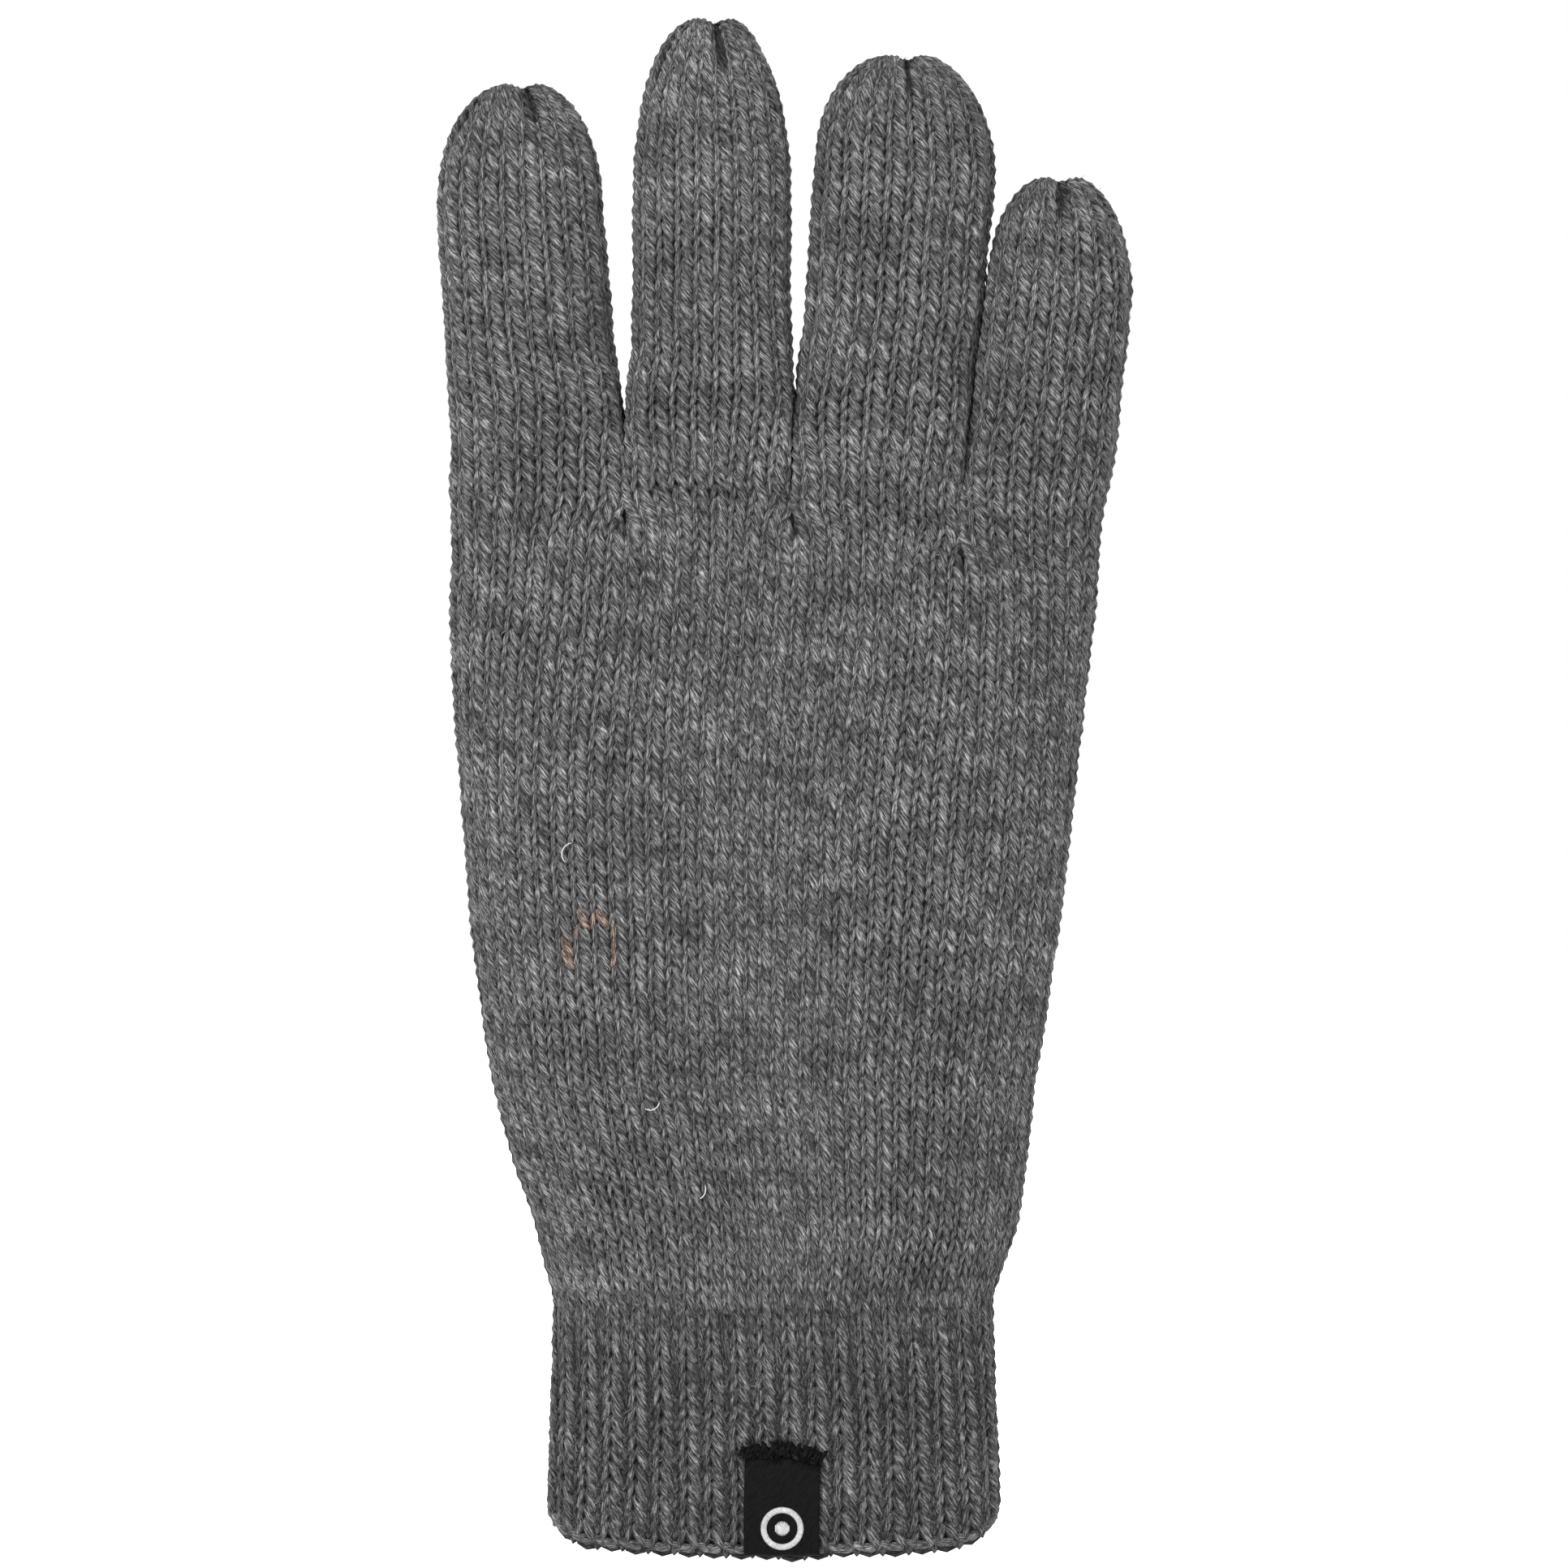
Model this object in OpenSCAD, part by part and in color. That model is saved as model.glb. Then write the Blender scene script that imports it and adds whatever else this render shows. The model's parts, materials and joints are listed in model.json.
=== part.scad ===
// Knitted touchscreen glove for a right hand, one glove of a pair.
// Upright frame: +Z runs from the hem to the fingertips, +X towards the little finger,
// -Y is the back of the hand and +Y the palm. The origin is the middle of the wrist opening.

/* [Size] */
// Length from the hem to the tip of the middle finger
glove_len = 248; // [238:1:258]
// Width across the finger roots
hand_w = 106; // [102:1:112]
// Thickness of the softly filled hand
hand_t = 21; // [20:0.5:23]
// Thickness of the knitted wall
wall = 2; // [1.6:0.1:2.2]

/* [Cuff] */
// Width of the cuff at its narrow top
cuff_w = 70; // [67:1:72]
// Thickness of the cuff
cuff_t = 19; // [18:0.5:20]
// Number of ribs around the cuff
ribs = 38; // [30:2:42]
// Height of a rib over its groove
rib_h = 0.6; // [0.3:0.1:0.8]
// How far the hem rises at the two folded corners
corner_lift = 3; // [1:0.5:4]
// Number of elastic courses in the cuff
elastic_courses = 4; // [2:1:4]

/* [Fingers] */
// Thickness of a finger
finger_t = 13.6; // [13:0.1:14]
// Half of the bare length at each knuckle, where only the soft band runs
knuckle_gap = 3; // [2.8:0.1:3.2]

/* [Thumb] */
// Width of the thumb
thumb_w = 26.4; // [25:0.2:27]
// Length of the thumb from its root to its tip
thumb_len = 58; // [55:1:60]
// Tilt of the thumb across the palm, in degrees
thumb_tilt = 20; // [16:1:22]

/* [Label] */
// Width of the woven label tape
label_w = 12; // [10:0.5:14]
// Height of the label over the hem
label_h = 18; // [15:0.5:19]

/* [Hidden] */

// Colours
marl_grey = [0.38, 0.38, 0.38];
dark_marl = [0.30, 0.30, 0.30];
black = [0.05, 0.05, 0.05];
pale = [0.80, 0.80, 0.80];
copper = [0.55, 0.42, 0.34];

// Scales from the nominal glove, 248 mm long and 106 mm wide
kz = glove_len / 248;
kx = hand_w / 106;
kt = hand_t / 21;

// Heights
cuff_len = 42 * kz;
hem_h = 1.8;
fit = 0.25;

// Roundness of the sections: 2 is an ellipse, more is squarer
hand_round = 2.8;
finger_round = 2.3;
dome_round = 2.4;

// Half width of the hand and its middle, at heights from the cuff to the finger roots
HAND_HALF = [[42, 35], [50, 37.7], [58, 39.4], [66, 41.4], [76, 43.4], [90, 45.4],
             [105, 47.4], [125, 49.1], [145, 50.7], [165, 51.8], [180, 53.2]];
HAND_MIDDLE = [[42, 0], [58, 0.6], [66, -0.6], [76, -1.6], [105, -1.2], [145, -0.8], [165, 0.4], [180, 1.2]];
HAND_DEPTH = [[42, 9.2], [60, 9.6], [80, 10.4], [110, 10.6], [140, 10.1], [160, 8.8], [180, 7.2]];
// Height of the line of knuckles across the hand
ROOT_LINE = [[-52, 177.6], [-38, 178], [-10, 180], [17, 177], [30, 172.6], [42, 170], [55, 169.4]];
// Slope of the cut-back on the palm side of a root joint and of a middle joint
root_slope = 0.55;
bend_slope = 0.72;

// Fingers: middle of the root, root height, tip height, lean, half widths at root and tip,
// height of the dome at the tip, and distance from the root to the middle joint
INDEX = [-37.9, 178, 236.4, -0.069, 13.5, 13.2, 18.8, 27];
MIDDLE = [-10.1, 180, 247, 0.008, 12.6, 12.5, 28, 31];
RING = [16.7, 177, 241, 0.098, 13.1, 14.5, 18, 29];
LITTLE = [42, 170, 221.4, 0.118, 11.7, 11.3, 17, 23];

// Thumb: the middle of its root, just over the palm
thumb_clear = 0.5;
thumb_root = [-33 * kx, 10.6 * kt + thumb_clear + finger_t / 2, 97 * kz];
thumb_dome = 18;
thumb_bend = 29;
// The thumb swings about a point nearer its outer edge, where the tube is cut back
swing_x = -6;
swing_slope = 0.32;

function mix(a, b, v) = a + (b - a) * v;
function spow(v, p) = sign(v) * pow(abs(v), p);
function palm_side(y) = max(0, y);
function dome(q) = q <= 0 ? 1 : pow(max(0, 1 - pow(q, dome_round)), 1 / dome_round);

// Hand outline
function hand_half(z) = kx * lookup(z / kz, HAND_HALF);
function hand_middle(z) = kx * lookup(z / kz, HAND_MIDDLE);
function hand_depth(z) = kt * lookup(z / kz, HAND_DEPTH);
function root_line(x) = kz * lookup(x / kx, ROOT_LINE);
function hand_edge(x, y) = root_line(x) - knuckle_gap - root_slope * palm_side(y);
// Depth of the hand's surface at a place on it
function surface_y(x, z) = hand_depth(z)
    * pow(max(0, 1 - pow(abs((x - hand_middle(z)) / hand_half(z)), hand_round)), 1 / hand_round);

// A point on the hand: angle t around it, share v of the way up, and inset from the outside
function hand_point(t, v, inset) =
    let (u = spow(cos(t), 2 / hand_round))
    let (s = spow(sin(t), 2 / hand_round))
    let (z = mix(cuff_len, hand_edge(u * hand_half(root_line(0)), s * hand_depth(root_line(0))), v))
    [hand_middle(z) + (hand_half(z) - inset) * u, (hand_depth(z) - inset) * s, z];

// Finger outline. The thickness rounds off over this length below the tip.
tip_round = 10;
function finger_scale(f, z) = dome((z - kz * (f[2] - f[6])) / (kz * f[6]));
function finger_middle(f, z) = kx * f[0] + f[3] * (min(z, kz * (f[2] - f[6])) - kz * f[1]);
function finger_half(f, z) =
    let (v = min(1, max(0, (z / kz - f[1]) / (f[2] - f[6] - f[1]))))
    mix(f[4], f[5], v) * kx * finger_scale(f, z);
function finger_depth(f, z) = finger_t / 2 * dome((z - kz * f[2] + tip_round) / tip_round);

// A ring around a finger, share v of the way between two ends. An end is its height at the
// back of the hand and its slope on the palm side; a slope of 0 is a level end.
function finger_ring(f, lo, hi, v, inset, n) = [for (i = [0:n - 1])
    let (t = 360 * i / n)
    let (c = spow(cos(t), 2 / finger_round))
    let (s = spow(sin(t), 2 / finger_round))
    let (y = palm_side(s) * finger_t / 2)
    let (z = mix(lo[0] + lo[1] * y, hi[0] + hi[1] * y, v))
    [finger_middle(f, z) + (finger_half(f, z) - inset) * c, (finger_depth(f, z) - inset) * s, z]];

// The bottom ring of a root band, which follows the edge of the hand
function root_ring(f, inset, n) = [for (i = [0:n - 1])
    let (t = 360 * i / n)
    let (c = spow(cos(t), 2 / finger_round))
    let (s = spow(sin(t), 2 / finger_round))
    let (x = kx * f[0] + (kx * f[4] - inset) * c)
    let (y = (finger_t / 2 - inset) * s)
    [x, y, hand_edge(x, y) + fit]];

// Splits a four-sided face into two triangles
function two(a, b, c, d) = [[a, b, c], [a, c, d]];

// A solid through rings of n points. A closed loft joins its last ring to its first.
module loft(rings, closed = false) {
    n = len(rings[0]);
    m = len(rings);
    sides = [for (j = [0:m - (closed ? 1 : 2)], i = [0:n - 1])
        let (k = (i + 1) % n, l = (j + 1) % m)
        each two(j * n + i, l * n + i, l * n + k, j * n + k)];
    caps = closed ? [] : [[for (i = [0:n - 1]) i], [for (i = [n - 1:-1:0]) (m - 1) * n + i]];
    polyhedron([for (r = rings) each r], concat(sides, caps));
}

// A sheet between an outer and an inner grid of points, closed all round its edge
module sheet(outer, inner) {
    r = len(outer);
    c = len(outer[0]);
    o = r * c;
    faces = [for (j = [0:r - 2], i = [0:c - 2])
        let (a = j * c + i, b = a + c, d = b + 1, e = a + 1)
        each concat(two(a, b, d, e), two(o + a, o + e, o + d, o + b))];
    ends = [for (i = [0:c - 2])
        let (a = i, e = i + 1, b = (r - 1) * c + i, d = b + 1)
        each concat(two(a, e, o + e, o + a), two(d, b, o + b, o + d))];
    flanks = [for (j = [0:r - 2])
        let (a = j * c, b = a + c, e = a + c - 1, d = e + c)
        each concat(two(b, a, o + a, o + b), two(e, d, o + d, o + e))];
    polyhedron(concat([for (p = outer) each p], [for (p = inner) each p]), concat(faces, ends, flanks));
}

// ---- Cuff ----
cuff_points = 2 * ribs;
// The hem's corner lift gathers at the sides: more is a tighter corner
corner_round = 8;
cuff_inner = rib_h + wall;

// How much the cuff widens down to the hem, and thins up to the hand, on each side
hem_flare = 1.6;
top_thin = 0.3;

function cuff_half(z) = cuff_w / 2 + hem_flare * (1 - z / cuff_len);
function cuff_depth(z) = cuff_t / 2 - top_thin * z / cuff_len;

// A point on the cuff, at angle t and share v between two heights over the lifted hem
function cuff_point(t, lo, hi, v, inset) =
    let (u = spow(cos(t), 2 / hand_round))
    let (s = spow(sin(t), 2 / hand_round))
    let (lift = corner_lift * pow(u, corner_round))
    let (z = mix(lo + lift, hi == cuff_len ? cuff_len : hi + lift, v))
    [(cuff_half(z) - inset) * u, (cuff_depth(z) - inset) * s, z];

function cuff_ring(lo, hi, v, inset, groove) = [for (i = [0:cuff_points - 1])
    cuff_point(360 * i / cuff_points, lo, hi, v, inset + groove * (i % 2))];

module cuff_rib() {
    steps = [0, 0.35, 0.7, 1];
    outer = [for (v = steps) cuff_ring(hem_h, cuff_len, v, 0, rib_h)];
    inner = [for (v = steps) cuff_ring(hem_h, cuff_len, 1 - v, cuff_inner, 0)];
    color(marl_grey) loft(concat(outer, inner), closed = true);
}

module cuff_hem() {
    outer = [for (v = [0, 1]) cuff_ring(0, hem_h, v, 0, rib_h)];
    inner = [for (v = [1, 0]) cuff_ring(0, hem_h, v, cuff_inner, 0)];
    color(dark_marl) loft(concat(outer, inner), closed = true);
}

// Elastic yarn laid in around the inside of the cuff
module cuff_elastic() {
    yarn = 0.7;
    clear = 4;
    first = label_h + clear;
    pitch = (cuff_len - clear / 2 - first) / (elastic_courses - 1);
    n = 48;
    color(dark_marl)
        for (k = [0:elastic_courses - 1]) {
            z = first + k * pitch;
            outer = [for (h = [0, yarn]) elastic_ring(z + h, z, fit, n)];
            inner = [for (h = [yarn, 0]) elastic_ring(z + h, z, fit + yarn, n)];
            loft(concat(outer, inner), closed = true);
        }
}

function elastic_ring(z, z_at, gap, n) = [for (i = [0:n - 1])
    let (p = cuff_point(360 * i / n, z_at, cuff_len, 0, cuff_inner + 0.1 + gap))
    [p[0], p[1], z]];

// ---- Hand ----
module hand_half_shell(from, opening) {
    columns = 20;
    rows = 11;
    outer = [for (j = [0:rows]) [for (i = [0:columns]) hand_point(from + 180 * i / columns, j / rows, 0)]];
    inner = [for (j = [0:rows]) [for (i = [0:columns]) hand_point(from + 180 * i / columns, j / rows, wall)]];
    sheet(outer, inner);
}

module hand_back() {
    color(marl_grey) hand_half_shell(180);
}

// The palm has the hole that the thumb goes through
module hand_palm() {
    hole_r = 8;
    hole_len = 12;
    color(marl_grey)
        difference() {
            hand_half_shell(0);
            translate([thumb_root[0], hand_t, thumb_root[2] - 15])
                rotate([90, 0, 0])
                    linear_extrude(hand_t) {
                        circle(r = hole_r, $fn = 32);
                        translate([-hole_r, 0])
                            square([2 * hole_r, hole_len]);
                        translate([0, hole_len])
                            circle(r = hole_r, $fn = 32);
                    }
        }
}

// Stitches that join the back to the palm between two fingers, inside the hand
module web(x) {
    web_w = 3;
    web_h = 3;
    top = root_line(x) - knuckle_gap - root_slope * hand_depth(root_line(x)) - web_w / 2;
    reach = surface_y(x, top) - wall - fit;
    color(dark_marl)
        translate([x, reach, top - web_h])
            rotate([90, 0, 0])
                linear_extrude(2 * reach) {
                    circle(d = web_w, $fn = 24);
                    translate([-web_w / 2, 0])
                        square([web_w, web_h]);
                    translate([0, web_h])
                        circle(d = web_w, $fn = 24);
                }
}

function between(f, g) = kx * (f[0] + f[4] + g[0] - g[4]) / 2;

// ---- Fingers ----
finger_points = 24;
// The dome stops this far below its peak, on the small flat that the gather sits on
tip_flat = 0.1;

// An open tube between two ends
module finger_tube(f, lo, hi, steps) {
    outer = [for (j = [0:steps]) finger_ring(f, lo, hi, j / steps, 0, finger_points)];
    inner = [for (j = [0:steps]) finger_ring(f, lo, hi, 1 - j / steps, wall, finger_points)];
    loft(concat(outer, inner), closed = true);
}

function joint_z(f) = kz * (f[1] + f[7]);

module root_band(f) {
    hi = [kz * f[1] + knuckle_gap - fit, root_slope];
    outer = [root_ring(f, 0, finger_points), finger_ring(f, hi, hi, 0, 0, finger_points)];
    inner = [finger_ring(f, hi, hi, 0, wall, finger_points), root_ring(f, wall, finger_points)];
    color(dark_marl) loft(concat(outer, inner), closed = true);
}

module lower_tube(f) {
    lo = [kz * f[1] + knuckle_gap, root_slope];
    hi = [joint_z(f) - knuckle_gap, -bend_slope];
    color(marl_grey) finger_tube(f, lo, hi, 3);
}

module knuckle_band(f) {
    lo = [joint_z(f) - knuckle_gap + fit, -bend_slope];
    hi = [joint_z(f) + knuckle_gap - fit, bend_slope];
    color(dark_marl) finger_tube(f, lo, hi, 2);
}

// A tube closed at the tip: down the inside, round the open end, and up the outside
module upper_tube(f) {
    lo = [joint_z(f) + knuckle_gap, bend_slope];
    tip = [kz * f[2] - tip_flat, 0];
    steps = [0, 0.3, 0.52, 0.7, 0.84, 0.94, 1];
    last = len(steps) - 1;
    inner = [for (j = [last:-1:0]) inner_ring(f, lo, tip, steps[j])];
    outer = [for (v = steps) finger_ring(f, lo, tip, v, 0, finger_points)];
    color(marl_grey) loft(concat(inner, outer));
}

// The inside of the tip is the outside scaled towards the middle, so that it closes too
function inner_ring(f, lo, hi, v) =
    let (ring = finger_ring(f, lo, hi, v, 0, finger_points))
    [for (p = ring)
        let (k = 1 - wall / kx / f[5], m = finger_middle(f, p[2]))
        let (drop = (p[2] - lo[0]) / (hi[0] - lo[0]) * wall * max(0, sign(v)))
        [m + (p[0] - m) * k, p[1] * (1 - 2 * wall / finger_t), p[2] - drop]];

// The drawn thread that closes a tip
module tip_gather(x, z) {
    thread = 1;
    loop_r = 1.5;
    color(dark_marl)
        translate([x, 0, z + thread / 2])
            rotate_extrude($fn = 32)
                translate([loop_r, 0])
                    circle(d = thread, $fn = 16);
}

module finger_gather(f) {
    tip_gather(finger_middle(f, kz * f[2]), kz * f[2] - tip_flat);
}

// A patch of conductive knitting laid over the palm side of a fingertip
module touch_pad(f) {
    below_tip = 17;
    pad_len = 12.2;
    pad_t = 0.6;
    // Angles of its two side edges, round the palm side of the finger
    edges = [30, 150];
    rows = 5;
    columns = 8;
    grids = [for (o = [fit, fit + pad_t]) [for (j = [0:rows]) [for (i = [0:columns])
        let (t = mix(edges[0], edges[1], i / columns))
        let (z = kz * f[2] - below_tip + pad_len * j / rows)
        let (c = spow(cos(t), 2 / finger_round), s = spow(sin(t), 2 / finger_round))
        [finger_middle(f, z) + (finger_half(f, z) + o) * c, (finger_depth(f, z) + o) * s, z]]]];
    color(copper) sheet(grids[1], grids[0]);
}

// ---- Thumb ----
// The thumb is built upright around its own root, then tilted and set on the palm
THUMB = [0, 0, thumb_len / kz, 0, thumb_w / kx / 2, thumb_w / kx / 2 - 0.4, thumb_dome, thumb_bend / kz];

module on_palm() {
    translate(thumb_root) rotate([0, thumb_tilt, 0]) children();
}

// Cut-back on the outer side of the swing point
function outer_side(x) = swing_slope * max(0, swing_x - x);

function thumb_swing_ring(level, away, inset) =
    [for (p = finger_ring(THUMB, [0, 0], [0, 0], 0, inset, finger_points))
        [p[0], p[1], level + away * outer_side(p[0])]];

module thumb_root_band() {
    lo = -knuckle_gap + fit;
    hi = knuckle_gap - fit;
    outer = [thumb_swing_ring(lo, -1, 0), thumb_swing_ring(hi, 1, 0)];
    inner = [thumb_swing_ring(hi, 1, wall), thumb_swing_ring(lo, -1, wall)];
    color(dark_marl) on_palm() loft(concat(outer, inner), closed = true);
}

module thumb_lower_tube() {
    hi = [thumb_bend - knuckle_gap, -bend_slope];
    middle = [thumb_bend / 2, 0];
    outer = [thumb_swing_ring(knuckle_gap, 1, 0),
             finger_ring(THUMB, middle, middle, 0, 0, finger_points),
             finger_ring(THUMB, hi, hi, 0, 0, finger_points)];
    inner = [finger_ring(THUMB, hi, hi, 0, wall, finger_points),
             finger_ring(THUMB, middle, middle, 0, wall, finger_points),
             thumb_swing_ring(knuckle_gap, 1, wall)];
    color(marl_grey) on_palm() loft(concat(outer, inner), closed = true);
}

// The hood that carries the thumb out of the palm: its length, its half width at the start,
// how early it swells, and how much its wall thins at the start
hood_len = 27;
hood_half = 10;
hood_bulge = 0.8;
hood_taper = 0.7;

module thumb_gusset() {
    rows = 5;
    columns = 14;
    outer = [for (j = [0:rows]) [for (i = [0:columns]) hood_point(180 * i / columns, j / rows, 0)]];
    inner = [for (j = [0:rows]) [for (i = [0:columns]) hood_point(180 * i / columns, j / rows, wall)]];
    color(marl_grey) sheet(outer, inner);
}

// A point on the hood, from its low start on the palm to its mouth at the thumb's root
function hood_point(t, v, inset) =
    let (half = mix(hood_half, thumb_w / 2, v) - inset)
    let (across = half * spow(cos(t), 2 / finger_round))
    let (mouth = -knuckle_gap - outer_side(across))
    let (x_top = thumb_root[0] + across * cos(thumb_tilt) + mouth * sin(thumb_tilt))
    let (z_top = thumb_root[2] - across * sin(thumb_tilt) + mouth * cos(thumb_tilt))
    let (x = mix(thumb_root[0] + across, x_top, v))
    let (z = mix(thumb_root[2] - hood_len, z_top, v))
    let (base = surface_y(x, z) + fit)
    let (crown = thumb_root[1] + finger_t / 2 - inset)
    let (start = wall + 0.6 - inset * hood_taper)
    let (rise = mix(start, crown - base, pow(v, hood_bulge)))
    [x, base + rise * pow(sin(t), 2 / finger_round), z];

// ---- Label ----
label_x = 1.4;
tape = 0.5;
label_face = cuff_t / 2 + fit + tape;

// Tape folded around the hem, with one leg outside and one inside the cuff
module woven_label() {
    outside = -label_face;
    inside = -cuff_t / 2 + cuff_inner + fit;
    bottom = -fit - tape;
    color(black)
        translate([label_x - label_w / 2, 0, 0])
            rotate([90, 0, 90])
                linear_extrude(label_w)
                    polygon([[outside, label_h], [outside, bottom], [inside + tape, bottom],
                             [inside + tape, label_h - 1], [inside, label_h - 1], [inside, bottom + tape],
                             [outside + tape, bottom + tape], [outside + tape, label_h]]);
}

// A row of slanted stitches along the top of the label
module label_stitching() {
    count = 9;
    thread = 0.6;
    length = 2.4;
    slant = 18;
    row_w = label_w + thread;
    color(black)
        for (i = [0:count - 1])
            translate([label_x + (i / (count - 1) - 0.5) * row_w, -label_face - thread / 2, label_h - 1])
                rotate([0, i % 2 == 0 ? slant : -slant, 0])
                    cylinder(d = thread, h = length, $fn = 16);
}

// A plain mark woven into the label: a dot inside a ring
module label_mark() {
    mark_d = 6.8;
    mark_z = 5.4;
    mark_t = 0.25;
    dot_d = 2.2;
    line = 0.9;
    color(pale)
        translate([label_x, -label_face, mark_z])
            rotate([90, 0, 0])
                linear_extrude(mark_t) {
                    difference() {
                        circle(d = mark_d, $fn = 48);
                        circle(d = mark_d - 2 * line, $fn = 48);
                    }
                    circle(d = dot_d, $fn = 32);
                }
}

// Conductive yarn that shows through the back of the hand near the thumb, as a small arch
module conductive_stitches() {
    arch_r = 4.2;
    tall = 1.3;
    yarn = 0.8;
    proud = 0.55;
    steps = 10;
    centre = [-28.6 * kx, 97.6 * kz];
    grids = [for (over = [proud, fit / 2]) [for (r = [arch_r - yarn, arch_r]) [for (i = [0:steps])
        let (t = 180 - 180 * i / steps)
        let (x = centre[0] + r * cos(t))
        let (z = centre[1] + tall * r * sin(t))
        [x, -surface_y(x, z) - over, z]]]];
    color(copper) sheet(grids[0], grids[1]);
}

cuff_rib();
cuff_hem();
cuff_elastic();
hand_back();
hand_palm();
web(between(INDEX, MIDDLE));  // web_index_middle
web(between(MIDDLE, RING));  // web_middle_ring
web(between(RING, LITTLE));  // web_ring_little
thumb_gusset();
woven_label();
label_stitching();
label_mark();
conductive_stitches();
root_band(INDEX);  // index_root_band
lower_tube(INDEX);  // index_lower_tube
knuckle_band(INDEX);  // index_knuckle_band
upper_tube(INDEX);  // index_upper_tube
finger_gather(INDEX);  // index_tip_gather
root_band(MIDDLE);  // middle_root_band
lower_tube(MIDDLE);  // middle_lower_tube
knuckle_band(MIDDLE);  // middle_knuckle_band
upper_tube(MIDDLE);  // middle_upper_tube
finger_gather(MIDDLE);  // middle_tip_gather
root_band(RING);  // ring_root_band
lower_tube(RING);  // ring_lower_tube
knuckle_band(RING);  // ring_knuckle_band
upper_tube(RING);  // ring_upper_tube
finger_gather(RING);  // ring_tip_gather
root_band(LITTLE);  // little_root_band
lower_tube(LITTLE);  // little_lower_tube
knuckle_band(LITTLE);  // little_knuckle_band
upper_tube(LITTLE);  // little_upper_tube
finger_gather(LITTLE);  // little_tip_gather
thumb_root_band();
thumb_lower_tube();
on_palm() knuckle_band(THUMB);  // thumb_knuckle_band
on_palm() upper_tube(THUMB);  // thumb_upper_tube
on_palm() finger_gather(THUMB);  // thumb_tip_gather
touch_pad(INDEX);  // index_touch_pad
on_palm() touch_pad(THUMB);  // thumb_touch_pad
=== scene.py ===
import json
import math

import bpy
import numpy as np
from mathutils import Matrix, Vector


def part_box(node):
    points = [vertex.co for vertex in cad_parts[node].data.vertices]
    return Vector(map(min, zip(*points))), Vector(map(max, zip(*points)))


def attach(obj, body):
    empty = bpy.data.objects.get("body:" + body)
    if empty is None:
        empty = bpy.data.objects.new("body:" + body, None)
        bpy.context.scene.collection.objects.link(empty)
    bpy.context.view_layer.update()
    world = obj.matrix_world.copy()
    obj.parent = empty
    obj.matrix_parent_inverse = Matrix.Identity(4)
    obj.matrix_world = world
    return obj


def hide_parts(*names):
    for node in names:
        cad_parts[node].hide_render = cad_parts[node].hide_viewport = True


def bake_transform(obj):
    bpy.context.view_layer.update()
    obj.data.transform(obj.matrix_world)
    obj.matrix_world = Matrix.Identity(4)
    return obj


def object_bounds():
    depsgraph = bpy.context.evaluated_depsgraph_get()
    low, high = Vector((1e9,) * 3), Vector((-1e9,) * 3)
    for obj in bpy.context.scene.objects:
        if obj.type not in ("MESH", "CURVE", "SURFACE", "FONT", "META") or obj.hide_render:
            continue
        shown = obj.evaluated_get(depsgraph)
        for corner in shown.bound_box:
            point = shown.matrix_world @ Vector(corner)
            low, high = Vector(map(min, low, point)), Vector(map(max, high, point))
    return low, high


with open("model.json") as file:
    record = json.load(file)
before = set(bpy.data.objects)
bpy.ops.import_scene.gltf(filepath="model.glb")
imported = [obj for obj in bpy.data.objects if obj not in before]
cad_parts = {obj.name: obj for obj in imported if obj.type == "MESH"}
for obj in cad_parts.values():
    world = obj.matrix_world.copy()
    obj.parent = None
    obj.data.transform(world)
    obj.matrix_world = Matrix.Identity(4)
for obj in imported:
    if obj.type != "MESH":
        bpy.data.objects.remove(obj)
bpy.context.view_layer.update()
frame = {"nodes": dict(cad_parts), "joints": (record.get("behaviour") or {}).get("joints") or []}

# Lengths are in millimetres until a mesh is made.
MM = 0.001

# ---- Knit gauge ----
HAND_COURSE = 2.12
CUFF_COURSE = 2.5
FINGER_COURSE = 2.08
# Wales on one face of each digit; the fingers' add up to the hand's
FACE_WALES = {"index": 10, "middle": 10, "ring": 10, "little": 9, "thumb": 9}
HAND_WALES = 2 * sum(FACE_WALES[name] for name in ("index", "middle", "ring", "little"))
ROWS_PER_COURSE = 4
COLUMNS_PER_WALE = 6
# Points along the front or the back of a section before the cloth's columns are laid on it
HALF_POINTS = 361
# Yarn thickness as a share of the wale and of the course, whichever is less
YARN_OF_WALE, YARN_OF_COURSE = 0.28, 0.37
RIB_YARN = 0.8
# How far the ribs are formed at the top of the cuff
RIB_AT_TOP = 0.3

# ---- Shape ----
# How far each knitted tip stands over its CAD, and the height of its rounded end
TIP_OVER = 0.7
DOMES = {"index": 21.0, "middle": 29.0, "ring": 20.0, "little": 19.5, "thumb": 18.0}
# Roundness of the sections: 2 is an ellipse, more is squarer
HAND_ROUND, FINGER_ROUND, ROOT_ROUND, DOME_ROUND = 2.8, 2.3, 14.0, 2.2
# Half length of the cloth that bends at a finger's root and at the other joints
ROOT_REACH, BEND_REACH = 7.0, 8.0
# Heights up to which each finger lies against the next
MEETS = (181.5, 185.0, 201.0)
# Heights below which neighbouring fingers are drawn together, and how far over each other
DRAWN_TO, DRAWN_BY = (174.0, 169.0, 169.0), 1.0
# How far the folds at the drawn tips are pulled in
TIP_FOLD = 0.5
# Height of the cuff's first course in the middle, and how it rises towards the sides
HEM_LOW, HEM_CURVE, HEM_CORNER = 3.6, 1.5, 3.8
# How far the cuff's knit runs up past the top of its CAD
CUFF_LAP = 1.2
# How deep behind the cloth the inner face lies: in general, in the cuff and at the hem
LINING, CUFF_LINING, HEM_LINING = 1.6, 2.2, 0.9
GUSSET_LEN = 26.0
THUMB_PAD_LEN = 17.0
# How much further from the palm the thumb's cloth lies than its CAD
THUMB_CLEAR = 0.6
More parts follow.
